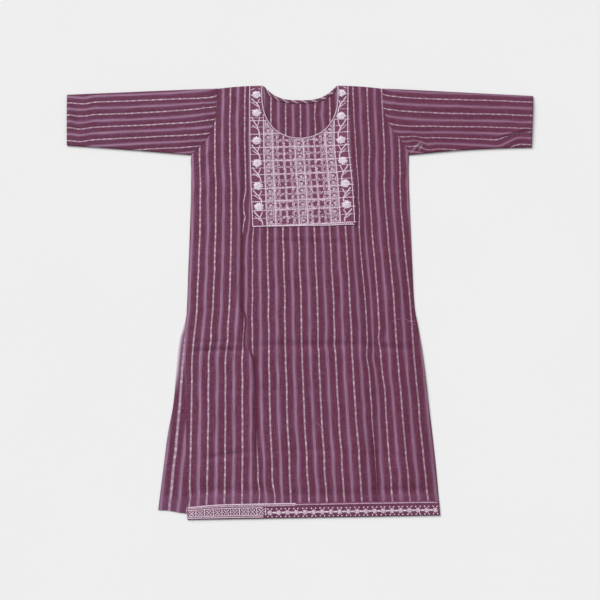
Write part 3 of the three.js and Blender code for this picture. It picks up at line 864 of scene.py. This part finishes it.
def sleeve_cloth(side):
    """A flattened tube: an outer and an inner skin, joined by a rim at armhole and cuff."""
    cuff = CUFFS[side]
    sign = -1 if side == "left" else 1
    armhole = front_left if side == "left" else front_right
    quarter = np.linspace(0, math.pi / 2, 4)
    shares = np.linspace(0.022, 0.978, 66)
    stations = np.concatenate([np.linspace(0, 0.2, 28)[:-1], np.linspace(0.2, 1, 84)])

    def place(along, across):
        down = mix(SHOULDER_DROP, ARMHOLE_LOW, across)
        inner_x = armhole(down) + sign * 0.0001
        outer_x = mix(cuff["top"][0], cuff["low"][0], across)
        outer_y = TOP - mix(cuff["top"][1], cuff["low"][1], across)
        y = mix(TOP - down, outer_y, along)
        return mix(inner_x, outer_x, along), y + cuff["bow"] * across * math.sin(math.pi * along)

    def hidden(along, across):
        """Cloth that lies hidden in the fold near the right cuff."""
        line = 0.80 - 0.12 * max(along - 0.71, 0) ** 2 / 0.29 ** 2
        folded = smooth((along - 0.70) / 0.22) * beyond(across, line, 0.010)
        return 0.027 * folded * (side == "right")

    rings = {0.0: [], CLOTH: []}
    maps, pleat_highlights, first_stripe = [], [], 0.025
    for along in stations:
        tx, ty = place(along, 0.0)
        lx, ly = place(along, 1.0)
        width = math.hypot(float(lx - tx), float(ly - ty))
        edge = mix(0.0013, SLEEVE_EDGE, smooth(along / 0.10))
        for inset, kept in rings.items():
            radius = edge - inset
            over = (inset + radius * (1 - np.cos(quarter))) / width
            high = edge + radius * np.sin(quarter)
            across = np.concatenate([over, shares, 1 - over[::-1],
                                     1 - over[1:], shares[::-1], over[:0:-1]])
            x, y = place(along, across)
            n, k = len(shares), len(over)
            crown = smooth(np.minimum(shares, 1 - shares) / 0.25)
            fine = strokes(x[k:k + n], TOP - y[k:k + n], SLEEVE_CREASES[side])
            fine += 0.0007 * ripple(x[k:k + n], y[k:k + n], 0.06, 9.0 + sign)
            puff = (0.0014 * crown + fine * np.sqrt(crown)) * smooth(along / 0.06)
            top = 2 * edge + puff - inset
            low = 2 * edge - high
            flat = np.full(n, inset)
            z = np.concatenate([high, top, high[::-1], low[1:], flat, low[:0:-1]])
            kept.append(np.stack([x, y, z], axis=1))
            if inset == 0.0:
                turn = np.where(np.arange(len(across)) >= 2 * k + n, -1, 1)
                pull = (cuff["pull"] - 0.006 * across) * math.exp(-along * 0.36 / cuff["fade"])
                sag = 0.004 * hump(along - 0.89, 0.06) * (side == "left")
                drop = across * width + pull - sag + hidden(along, across)
                for first, second, reach, aside, depth in SLEEVE_SAGS[side]:
                    drop -= depth * hump(along - first, reach) * hump(across - second, aside)
                length = np.full(len(across), along * SLEEVE_LENGTH)
                maps.append(np.stack([turn * drop - first_stripe, length], axis=1))
                # Painted highlight along the pleat edges, on the outer skin
                pleat_highlights.append(strokes(x, TOP - y, PLEAT_HIGHLIGHTS) * (turn > 0))
    outer, inner = np.array(rings[0.0]), np.array(rings[CLOTH])
    count, around = outer.shape[:2]
    points = np.concatenate([outer.reshape(-1, 3), inner.reshape(-1, 3)])
    uv = np.concatenate(maps + maps)
    index = np.arange(count * around).reshape(count, around)
    after = np.roll(index, -1, axis=1)
    layer = count * around
    faces = np.concatenate([
        quads(index[:-1], after[:-1], after[1:], index[1:]),
        quads(index[:-1], index[1:], after[1:], after[:-1]) + layer,
        quads(index[0], index[0] + layer, after[0] + layer, after[0]),
        quads(index[-1], after[-1], after[-1] + layer, index[-1] + layer),
    ])
    if sign < 0:
        faces = faces[:, ::-1]
    marks = {"pale": np.concatenate(pleat_highlights + pleat_highlights)}
    obj = mesh_object(f"sleeve_{side}_cloth", points, faces, uv, marks)
    dress(obj, cloth_finish, "striped_cloth", f"sleeve_{side}")


def yoke_place(across, down):
    """Page point on the yoke: across from its left edge, and down its left side."""
    share = across / YOKE_WIDTH
    x = mix(yoke_left(down), yoke_right(down), share)
    return x, TOP - down + yoke_rise(down) * share


def yoke_foot(across, up):
    """Page point near the yoke's lower edge, which rises less than the rows above it."""
    share = across / YOKE_WIDTH
    x = mix(yoke_left(YOKE_DEPTH), yoke_right(YOKE_DEPTH), share)
    return x, TOP - YOKE_DEPTH + YOKE_LOWER_RISE * share + up


def yoke_cloth():
    grow = NECK_BINDING + GAP
    columns = 84
    share = np.linspace(0, 1, columns + 1)
    split = 0.172
    xs, ys = [], []
    for down in rows_down([split, YOKE_DEPTH], 0.0042)[::-1]:
        xs.append(mix(yoke_left(down), yoke_right(down), share))
        ys.append(TOP - down + YOKE_LOWER_RISE * share * (down - split) / (YOKE_DEPTH - split))
    first_x, first_y = xs[-1], ys[-1]
    strap = 0.115
    angle = math.pi * np.clip(1 - (share - strap) / (1 - 2 * strap), 0, 1)
    neck_x, neck_y = front_neck_points(grow, angle)
    left_x = mix(yoke_left(0), -(NECK_HALF + grow), np.clip(share / strap, 0, 1))
    right_x = mix(NECK_HALF + grow, yoke_right(0), np.clip((share - 1 + strap) / strap, 0, 1))
    top_x = np.where(share <= strap, left_x, np.where(share >= 1 - strap, right_x, neck_x))
    shoulder_y = TOP - shoulder_down(top_x) - SEAM_ROLL
    top_y = np.where((share > strap) & (share < 1 - strap), neck_y, shoulder_y)
    for r in np.linspace(0, 1, 42)[1:]:
        xs.append(mix(first_x, top_x, r))
        ys.append(mix(first_y, top_y, r))
    x, y = np.array(xs), np.array(ys)
    under = yoke_under(x, y)
    obj = shell("yoke_cloth", x, y, under, under + YOKE_CLOTH, x, TOP - y)
    dress(obj, yoke_finish, "embroidery", "yoke_panel")


def hem_place(across, up):
    """Page point on the hem border: across from the left corner, up from the lower edge."""
    left, right = FRONT_HEM[0][0], FRONT_HEM[1][0]
    x = left + across
    y = TOP - front_hem(x) + up * (1 - 0.14 * hump(across, 0.045))
    width = front_right(TOP - y) - front_left(TOP - y)
    share = across / (right - left)
    return front_left(TOP - y) + width * share, y


def hem_under(x, y):
    return front_under(x, y) + CLOTH + 0.0004


def hem_top(x, y):
    return hem_under(x, y) + YOKE_CLOTH


def hem_border():
    across = np.linspace(0, FRONT_HEM[1][0] - FRONT_HEM[0][0], 168)
    rows = [hem_place(across, up) for up in np.linspace(0, HEM_BAND, 12)]
    x = np.array([row[0] for row in rows])
    y = np.array([row[1] for row in rows])
    under = hem_under(x, y)
    obj = shell("hem_border", x, y, under, under + YOKE_CLOTH, x, TOP - y)
    dress(obj, yoke_finish, "embroidery", "hem_band")


def back_facing():
    """The bias strip inside the back neckline, with a soft round section."""
    steps, shares = 120, np.linspace(0, 1, 7)
    line = np.linspace(-SHOULDER_INNER + 0.0015, SHOULDER_INNER - 0.0015, steps)
    xs, ys, along = [], [], []
    for share in shares:
        grow = mix(BACK_FACING, 0.0002, share)
        depth = (BACK_NECK_DEPTH + grow) * (1 - (np.abs(line) / (SHOULDER_INNER + grow)) ** 3)
        xs.append(line)
        ys.append(TOP - depth)
        along.append(run_length(line, TOP - depth))
    x, y, u = np.array(xs), np.array(ys), np.array(along)
    crown = np.sin(np.pi * shares)[:, None] * 0.0005
    under = np.maximum(back_top(x, y), WALL) + GAP
    v = np.repeat(np.linspace(0, BACK_FACING, len(shares))[:, None], steps, axis=1)
    obj = shell("back_facing", x, y, under, under + 0.0007 + crown, u, v)
    dress(obj, bias_finish, "bias_facing", "back_neck_facing")


# Stitches
def stitch_nodes():
    """Geometry Nodes: a rounded stitch on each point, turned along its run and sized."""
    tree = bpy.data.node_groups.new("stitches", "GeometryNodeTree")
    for label, kind, default in (("Geometry", "NodeSocketGeometry", None),
                                 ("Sides", "NodeSocketInt", 6),
                                 ("Rings", "NodeSocketInt", 4),
                                 ("Thread", "NodeSocketMaterial", None)):
        socket = tree.interface.new_socket(label, in_out="INPUT", socket_type=kind)
        if default is not None:
            socket.default_value = default
    tree.interface.new_socket("Geometry", in_out="OUTPUT", socket_type="NodeSocketGeometry")

    def node(kind, **settings):
        made = tree.nodes.new(kind)
        for name, value in settings.items():
            setattr(made, name, value)
        return made

    def named(label):
        made = node("GeometryNodeInputNamedAttribute", data_type="FLOAT_VECTOR")
        made.inputs["Name"].default_value = label
        return made.outputs["Attribute"]

    ends = node("NodeGroupInput")
    out = node("NodeGroupOutput")
    bead = node("GeometryNodeMeshUVSphere")
    bead.inputs["Radius"].default_value = 0.5
    turn = node("FunctionNodeAlignRotationToVector", axis="X", pivot_axis="Z")
    place = node("GeometryNodeInstanceOnPoints")
    real = node("GeometryNodeRealizeInstances")
    soft = node("GeometryNodeSetShadeSmooth")
    coat = node("GeometryNodeSetMaterial")
    wires = [
        (ends.outputs["Geometry"], place.inputs["Points"]),
        (ends.outputs["Sides"], bead.inputs["Segments"]),
        (ends.outputs["Rings"], bead.inputs["Rings"]),
        (bead.outputs["Mesh"], place.inputs["Instance"]),
        (named("run"), turn.inputs["Vector"]),
        (turn.outputs["Rotation"], place.inputs["Rotation"]),
        (named("size"), place.inputs["Scale"]),
        (place.outputs["Instances"], real.inputs["Geometry"]),
        (real.outputs["Geometry"], soft.inputs["Geometry"]),
        (soft.outputs["Geometry"], coat.inputs["Geometry"]),
        (ends.outputs["Thread"], coat.inputs["Material"]),
        (coat.outputs["Geometry"], out.inputs["Geometry"]),
    ]
    for start, end in wires:
        tree.links.new(start, end)
    return tree


stitch_tree = stitch_nodes()


def sew(name, stitches, surface, thread, sides=6, rings=4):
    """One mesh of stitches. Each is x, y of both ends, its width and its height."""
    rows = np.array(stitches)
    start, end = rows[:, 0:2], rows[:, 2:4]
    width, height = rows[:, 4], rows[:, 5]
    middle = (start + end) / 2
    run = end - start
    reach = np.hypot(run[:, 0], run[:, 1])
    z = surface(middle[:, 0], middle[:, 1]) + height * 0.18
    mesh = bpy.data.meshes.new(name + "_points")
    mesh.from_pydata(np.column_stack([middle, z]).tolist(), [], [])
    vectors = {
        "run": np.column_stack([run, np.zeros(len(run))]),
        "size": np.column_stack([reach + width * 0.35, width, height]),
    }
    for label, values in vectors.items():
        attribute = mesh.attributes.new(label, "FLOAT_VECTOR", "POINT")
        attribute.data.foreach_set("vector", values.astype(np.float32).ravel())
    points = placed(name + "_points", mesh)
    modifier = points.modifiers.new("stitches", "NODES")
    modifier.node_group = stitch_tree
    sockets = {item.name: item.identifier for item in stitch_tree.interface.items_tree
               if item.in_out == "INPUT"}
    modifier[sockets["Sides"]] = sides
    modifier[sockets["Rings"]] = rings
    modifier[sockets["Thread"]] = thread
    graph = bpy.context.evaluated_depsgraph_get()
    made = bpy.data.meshes.new_from_object(points.evaluated_get(graph))
    bpy.data.objects.remove(points)
    obj = placed(name, made)
    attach(obj, "root")


def chain(points, pitch, width, height):
    """Stitches head to tail along a line of page points."""
    points = np.array(points)
    at = run_length(points[:, 0], points[:, 1])
    count = max(1, round(at[-1] / pitch))
    marks = np.linspace(0, at[-1], count + 1)
    x = np.interp(marks, at, points[:, 0])
    y = np.interp(marks, at, points[:, 1])
    return [(x[i], y[i], x[i + 1], y[i + 1], width, height) for i in range(count)]


def spokes(centre, inner, outer, count, width, height, turn, place):
    """Stitches that radiate from a centre."""
    made = []
    for k in range(count):
        angle = turn + 2 * math.pi * k / count
        c, s = math.cos(angle), math.sin(angle)
        first = place(centre[0] + inner * c, centre[1] + inner * s)
        last = place(centre[0] + outer * c, centre[1] + outer * s)
        made.append((*first, *last, width, height))
    return made


def cross(centre, arm, width, height, turn, place):
    """Two stitches over each other."""
    made = []
    for angle in (turn, turn + math.pi / 2):
        c, s = arm * math.cos(angle), arm * math.sin(angle)
        made.append((*place(centre[0] - c, centre[1] - s), *place(centre[0] + c, centre[1] + s),
                     width, height))
    return made


def knot(centre, size, height, place):
    x, y = place(*centre)
    return [(x - size * 0.2, y, x + size * 0.2, y, size, height)]


VINE = 0.0335
NARROW = 0.0215
WIDE = 0.0530
MIDDLE = YOKE_WIDTH - 2 * (VINE + NARROW + WIDE)
COLUMNS = np.cumsum([0, VINE, NARROW, WIDE, MIDDLE, WIDE, NARROW, VINE])
ROWS = [0.1040, 0.1417, 0.1790, 0.2157, 0.2524, 0.2894, 0.3228, 0.3461, 0.3861]
RUNGS = [0.0300, 0.0520, 0.0740, 0.0960, 0.1220, 0.1610, 0.1970, 0.2343, 0.2723, 0.3060, 0.3660]
BLOOMS = {0: (0.0297, 0.0821, 0.1598, 0.2211, 0.2823, 0.3365),
          6: (0.0270, 0.0943, 0.1644, 0.2224, 0.2859, 0.3412)}
CHECK_ACROSS = np.array([0.0014, 0.0048, 0.0074, 0.0102, 0.0137, 0.0168, 0.0205, 0.0242])
BARE_ACROSS = 0.0074
BARE_OUTER = 0.0205


def column_middle(column):
    return (COLUMNS[column] + COLUMNS[column + 1]) / 2


def motif_bands():
    """Each band between two rows of the grid: where its motifs lie, and how tall one is."""
    for upper, lower in zip(ROWS[:-1], ROWS[1:]):
        pairs = 1 if lower - upper < 0.03 else 2
        tall = (lower - upper) / pairs
        yield [upper + tall * (k + 0.5) for k in range(pairs)], tall


def clear_stitches(stitches):
    """Leaves out stitches that would reach into the neckline or past the shoulder."""
    rows = np.array(stitches)
    x, depth = (rows[:, 0] + rows[:, 2]) / 2, TOP - (rows[:, 1] + rows[:, 3]) / 2
    clear = 0.0045
    share = np.clip(depth / (FRONT_NECK_DEPTH + clear), 0, 1)
    inside = np.abs(x) < (NECK_HALF + clear) * np.sqrt(1 - share ** 3)
    return rows[~inside & (depth > shoulder_down(x) + SEAM_ROLL + 0.0008)]


def yoke_lines():
    """The embroidered grid: its frame, columns, rows and the rungs of the vine columns."""
    made = []

    def upright(across, width, height=0.0012):
        line = [yoke_place(across, down) for down in np.linspace(0.004, ROWS[-1], 44)]
        return chain(line, GRID_STITCH, width, height)

    def level(left, right, down, width):
        line = [yoke_place(across, down) for across in np.linspace(left, right, 30)]
        return chain(line, GRID_STITCH, width, 0.0013)

    for across in (0.0014, YOKE_WIDTH - 0.0014):
        made += upright(across, 0.0026, 0.0014)
    for across in COLUMNS[1:-1]:
        made += upright(across, 0.0022)
    for column in (2, 4):
        made += upright(column_middle(column), 0.0013, 0.0009)
    for down in ROWS:
        made += level(0.002, YOKE_WIDTH + 0.0024, down, 0.0028)
    for down in RUNGS:
        made += level(0.002, VINE, down, 0.0019)
        made += level(YOKE_WIDTH - VINE, YOKE_WIDTH + 0.0020, down, 0.0019)
    foot = [yoke_foot(across, 0.0018) for across in np.linspace(0.002, YOKE_WIDTH - 0.002, 30)]
    made += chain(foot, GRID_STITCH, 0.0030, 0.0014)
    for across in np.arange(0.090, YOKE_WIDTH - 0.004, 0.0042):
        made.append((*yoke_foot(across, 0.0020), *yoke_place(across, ROWS[-1]), 0.0018, 0.0011))
    return clear_stitches(made)


def rose(centre, half, pick):
    """A small round rose under an arch of bare cloth, in a square of crosses."""
    made = spokes(centre, half * 0.12, half * 0.52, 5, 0.0026, 0.0014, 0.3, yoke_place)
    made += knot(centre, 0.0028, 0.0020, yoke_place)
    steps = np.linspace(-1, 1, 6)
    lean = pick.normal(0, 1.1)
    for i in steps:
        for j in steps:
            across, down = 1.12 * half * i, half * j
            reach = math.hypot(across, down)
            below = down * math.cos(lean) + across * math.sin(lean)
            if reach < half * 0.50 or (half * 0.52 < reach < half * 0.88 and below < half * 0.2):
                continue
            spot = (centre[0] + across, centre[1] + down)
            made += cross(spot, 0.0013 + 0.0006 * pick.random(), 0.0017, 0.0011,
                          math.pi / 4 + pick.normal(0, 0.3), yoke_place)
    return made


def yoke_roses():
    """Pairs of roses in the three narrow columns."""
    pick = np.random.default_rng(ROSE_SEED)
    made = []
    for levels, tall in motif_bands():
        for column in (1, 3, 5):
            for level in levels:
                centre = (column_middle(column), level)
                made += rose(centre, min(0.0080, tall * 0.46), pick)
    return clear_stitches(made)


def yoke_check():
    """Crosses that fill the wide columns round their bare squares, in two threads."""
    pick = np.random.default_rng(CHECK_SEED)
    made = {"bright": [], "soft": []}
    for levels, tall in motif_bands():
        for column in (2, 4):
            middle = column_middle(column)
            for across in np.concatenate([-CHECK_ACROSS[::-1], CHECK_ACROSS]):
                for offset in np.linspace(-0.42, 0.42, round(tall / 0.0027)) * tall:
                    square = abs(abs(across) - BARE_ACROSS) < 0.0049 and abs(offset) < 0.0058
                    blot = abs(abs(across) - BARE_OUTER) < 0.0025 and abs(offset) < 0.0030
                    if square or blot:
                        continue
                    for level in levels:
                        shade = "bright" if pick.random() < 0.28 else "soft"
                        stray = pick.normal(0, 0.0005, 2)
                        spot = middle + across + stray[0], level + offset + stray[1]
                        arm = 0.0014 + 0.0009 * pick.random()
                        made[shade] += cross(spot, arm, 0.0018, 0.0011,
                                             math.pi / 4 + pick.normal(0, 0.5), yoke_place)
    return clear_stitches(made["bright"]), clear_stitches(made["soft"])


def yoke_vines():
    """A climbing stem with round blooms down each side of the yoke, and two leaves at its top."""
    stems, flowers = [], []

    def sprig(middle, side, points, width, height):
        """A line of stitches through points given as aside from the middle, and down."""
        line = [yoke_place(middle + side * aside, down) for aside, down in points]
        return chain(line, VINE_STITCH, width, height)

    for column, downs in BLOOMS.items():
        lean = 1 if column == 0 else -1
        middle = COLUMNS[column] + VINE * (0.5 + 0.02 * lean)
        for k, down in enumerate(downs):
            centre = (middle, down)
            for petal in range(13):
                angle = 2 * math.pi * petal / 13 + 0.4 * k
                reach = 0.0112 * (1 + 0.09 * math.sin(5 * angle + 2 * k))
                tip = (middle + reach * math.cos(angle), down + reach * math.sin(angle))
                root = (mix(centre[0], tip[0], 0.25), mix(centre[1], tip[1], 0.25))
                flowers.append((*yoke_place(*root), *yoke_place(*tip), 0.0044, 0.0020))
            flowers += spokes(centre, 0.0010, 0.0070, 9, 0.0034, 0.0030, 0.2 * k, yoke_place)
            flowers += knot(centre, 0.0040, 0.0042, yoke_place)
            if k == 0:
                leaf = [(0.0125, down - 0.014), (0.0050, down - 0.019)]
                for side in (-1, 1):
                    stems += sprig(middle, side, leaf, 0.0028, 0.0014)
            last = downs[k + 1] if k + 1 < len(downs) else 0.3930
            start, end = down + 0.0115, last - 0.0095
            if end - start < 0.012:
                continue
            fork = mix(start, end, 0.46)
            stem = [(-0.0115, start), (-0.006, mix(start, fork, 0.5)), (0.001, fork),
                    (0.006, mix(fork, end, 0.5)), (0.007, end)]
            arm = [(0.0075, start + 0.001), (0.004, fork - 0.006), (0.001, fork)]
            spray = [(-0.0100, fork - 0.003), (0.004, fork + 0.009)]
            stems += sprig(middle, lean, stem, 0.0036, 0.0016)
            stems += sprig(middle, lean, arm, 0.0030, 0.0014)
            stems += sprig(middle, lean, spray, 0.0028, 0.0014)
    return clear_stitches(stems), clear_stitches(flowers)


def neckline_points(grow, count):
    x, y = front_neck_points(grow, np.linspace(math.pi - 0.0008, 0.0008, count))
    return np.column_stack([x, y])


def neck_edging():
    """Close satin stitches over the front neckline's edge."""
    line = neckline_points(NECK_BINDING * 0.5, 1600)
    at = run_length(line[:, 0], line[:, 1])
    marks = np.arange(0.0006, at[-1], 0.0011)
    x, y = np.interp(marks, at, line[:, 0]), np.interp(marks, at, line[:, 1])
    dx, dy = np.gradient(x), np.gradient(y)
    reach = np.hypot(dx, dy)
    out_x, out_y = dy / reach, -dx / reach
    lean = 0.35
    half = NECK_BINDING * 0.42
    made = []
    for i in range(len(marks)):
        ax = out_x[i] + lean * dx[i] / reach[i]
        ay = out_y[i] + lean * dy[i] / reach[i]
        made.append((x[i] - ax * half, y[i] - ay * half, x[i] + ax * half, y[i] + ay * half,
                     0.0012, 0.0012))
    return made


def neck_strip():
    """The folded strip under the satin stitches."""
    count, shares = 200, np.linspace(0, 1, 5)
    inner = neckline_points(0.0002, count)
    outer = neckline_points(NECK_BINDING, count)
    rows = [mix(inner, outer, share) for share in shares]
    x = np.array([row[:, 0] for row in rows])[::-1]
    y = np.array([row[:, 1] for row in rows])[::-1]
    crown = np.sin(np.pi * shares)[:, None] * 0.0004
    under = front_base(x, y) + CLOTH + 0.0002
    u = np.repeat(np.linspace(0, NECKLINE_LENGTH, count)[None, :], len(shares), axis=0)
    v = np.repeat(np.linspace(0, NECK_BINDING, len(shares))[:, None], count, axis=1)
    obj = shell("neck_strip", x, y, under, under + 0.0005 + crown, u, v)
    dress(obj, soft_thread_finish, "neck_edging", "front_neck_binding")


HEM_FRAMED = 0.150
HEM_MOTIF = 0.0175
HEM_LENGTH = FRONT_HEM[1][0] - FRONT_HEM[0][0]


def hem_stitches():
    """The border: framed crosses at the left, then a chain of small stars with dots."""
    lines, motifs = [], []

    def level(left, right, up, width, height=0.0014):
        line = [hem_place(across, up) for across in np.linspace(left, right, 50)]
        return chain(line, 0.0028, width, height)

    start, bright_end, end = 0.0015, 0.215, HEM_LENGTH - 0.0030
    lines += level(start, bright_end, HEM_BAND - 0.0014, 0.0030, 0.0018)
    rope = level(bright_end - 0.003, end, HEM_BAND - 0.0036, 0.0030, 0.0018)
    rope += level(start, bright_end, HEM_BAND - 0.0046, 0.0040, 0.0018)
    for up, width in ((0.0026, 0.0026), (0.0058, 0.0024), (HEM_BAND - 0.0082, 0.0022)):
        lines += level(start, HEM_FRAMED, up, width)
    count = round(HEM_LENGTH / HEM_MOTIF)
    pitch = HEM_LENGTH / count
    pick = np.random.default_rng(HEM_SEED)
    for k in range(count):
        across = (k + 0.5) * pitch
        middle = 0.0124 if across < HEM_FRAMED else 0.0099
        centre = (across, middle)
        if across < HEM_FRAMED:
            edge = across + pitch / 2
            lines += chain([hem_place(edge, 0.0055), hem_place(edge, HEM_BAND - 0.0085)],
                           0.0026, 0.0028, 0.0014)
            motifs += spokes(centre, 0.0008, 0.0078, 4, 0.0022, 0.0014, math.pi / 4, hem_place)
            motifs += spokes(centre, 0.0044, 0.0066, 4, 0.0022, 0.0012, 0.0, hem_place)
            motifs += knot(centre, 0.0036, 0.0018, hem_place)
        else:
            turn = pick.random()
            motifs += spokes(centre, 0.0006, 0.0056, 8, 0.0022, 0.0016, turn, hem_place)
            for side in (-1, 1):
                for up in (-1, 1):
                    lean = pick.normal(0, 0.0007)
                    inner = hem_place(across + side * 0.0028 + lean, middle + up * 0.0060)
                    outer = hem_place(across + side * 0.0048, middle + up * 0.0084)
                    motifs.append((*inner, *outer, 0.0026, 0.0016))
            if k + 1 < count:
                motifs += chain([hem_place(across + 0.005, middle),
                                 hem_place(across + pitch - 0.005, middle)],
                                0.0026, 0.0036, 0.0016)
                between = (across + pitch / 2, middle)
                motifs += cross(between, 0.0030, 0.0017, 0.0013, 0.7 + 0.3 * turn, hem_place)
            motifs += knot(centre, 0.0036, 0.0022, hem_place)
    return lines, rope, motifs


# Loose threads on the front: across, down
LOOSE_THREADS = [
    [(0.1990, 0.6138), (0.2086, 0.6103), (0.2220, 0.6080), (0.2315, 0.6108), (0.2396, 0.6154),
     (0.2437, 0.6196), (0.2491, 0.6219)],
    [(0.2396, 0.6154), (0.2470, 0.6132), (0.2500, 0.6122)],
    [(0.2423, 0.5758), (0.2475, 0.5816)],
    [(0.0331, 0.8345), (0.0400, 0.8420), (0.0440, 0.8500), (0.0494, 0.8534)],
    [(-0.1260, 0.0690), (-0.1340, 0.0650), (-0.1400, 0.0600)],
]


def loose_threads():
    made = []
    for line in LOOSE_THREADS:
        made += chain([(x, TOP - down) for x, down in line], 0.0022, 0.0007, 0.0006)
    return made


def seam_stitches():
    """Plum machine stitching along the slit edges that show and the back's hem."""
    on_front, on_back = [], []
    edges = ((on_front, front_left, 1), (on_front, front_right, -1), (on_back, back_left, 1))
    for down in np.arange(SLIT_DOWN + 0.004, 0.995, MACHINE_PITCH):
        for stitches, edge, side in edges:
            x = [float(edge(d)) + side * MACHINE_INSET for d in (down, down + MACHINE_STITCH)]
            low = TOP - down - MACHINE_STITCH
            stitches.append((x[0], TOP - down, x[1], low, *MACHINE_THREAD))
    for x in np.arange(-0.276, -0.228, MACHINE_PITCH):
        y = [TOP - float(back_hem(a)) + 0.029 for a in (x, x + MACHINE_STITCH)]
        on_back.append((x, y[0], x + MACHINE_STITCH, y[1], *MACHINE_THREAD))
    return on_front, on_back


neck_strip()
back_cloth()
front_cloth()
for side in CUFFS:
    sleeve_cloth(side)
yoke_cloth()
back_facing()
hem_border()

sew("yoke_grid", yoke_lines(), yoke_top, thread_finish)
sew("yoke_roses", yoke_roses(), yoke_top, thread_finish)
bright_check, soft_check = yoke_check()
sew("yoke_check_bright", bright_check, yoke_top, thread_finish)
sew("yoke_check_soft", soft_check, yoke_top, soft_thread_finish)
vine_stems, vine_blooms = yoke_vines()
sew("yoke_stems", vine_stems, yoke_top, thread_finish)
sew("yoke_blooms", vine_blooms, yoke_top, bloom_finish, 8, 5)
sew("neck_satin", neck_edging(), lambda x, y: front_base(x, y) + CLOTH + 0.0009,
    thread_finish)
hem_lines, hem_rope, hem_motifs = hem_stitches()
sew("hem_lines", hem_lines, hem_top, thread_finish)
sew("hem_rope", hem_rope, hem_top, soft_thread_finish)
sew("hem_motifs", hem_motifs, hem_top, thread_finish)
sew("loose_threads", loose_threads(), lambda x, y: front_under(x, y) + CLOTH + 0.0002,
    soft_thread_finish)
front_seams, back_seams = seam_stitches()
sew("front_seams", front_seams, lambda x, y: front_under(x, y) + CLOTH,
    plum_thread_finish)
sew("back_seams", back_seams, back_top, plum_thread_finish)


# Floor, light and camera
def make_floor():
    mesh = bpy.data.meshes.new("floor")
    half, level = 6.0, -0.0004
    corners = [(-half, -half), (half, -half), (half, half), (-half, half)]
    mesh.from_pydata([(x, y, level) for x, y in corners], [], [(0, 1, 2, 3)])
    mesh.materials.append(floor_finish())
    obj = placed("floor", mesh)


def make_sun(name, direction, softness, strength):
    lamp = bpy.data.lights.new(name, "SUN")
    lamp.angle = math.radians(softness)
    lamp.energy = strength
    placed(name, lamp).rotation_euler = Vector(direction).to_track_quat("-Z", "Y").to_euler()


def make_world(strength):
    world = bpy.data.worlds.new("studio")
    world.use_nodes = True
    background = world.node_tree.nodes["Background"]
    background.inputs["Color"].default_value = (1.0, 1.0, 1.0, 1.0)
    background.inputs["Strength"].default_value = strength
    bpy.context.scene.world = world


def make_camera():
    """The photograph's view: from above the hem, tilted back from straight down."""
    tilt = math.radians(22)
    distance = 1.840
    target = Vector((0.0, -0.0469, 0.0))
    camera = bpy.data.cameras.new("camera")
    focal_length, picture_width = 842, 600
    camera.sensor_width = 36.0
    camera.lens = camera.sensor_width * focal_length / picture_width
    camera.clip_end = 50.0
    obj = placed("camera", camera)
    obj.location = target + distance * Vector((0.0, -math.sin(tilt), math.cos(tilt)))
    obj.rotation_euler = (tilt, 0.0, 0.0)
    bpy.context.scene.camera = obj


make_floor()
make_world(0.52)
make_sun("window", (0.55, -0.62, -0.58), 40, 3.15)
make_camera()
bpy.context.scene.view_settings.view_transform = "Standard"
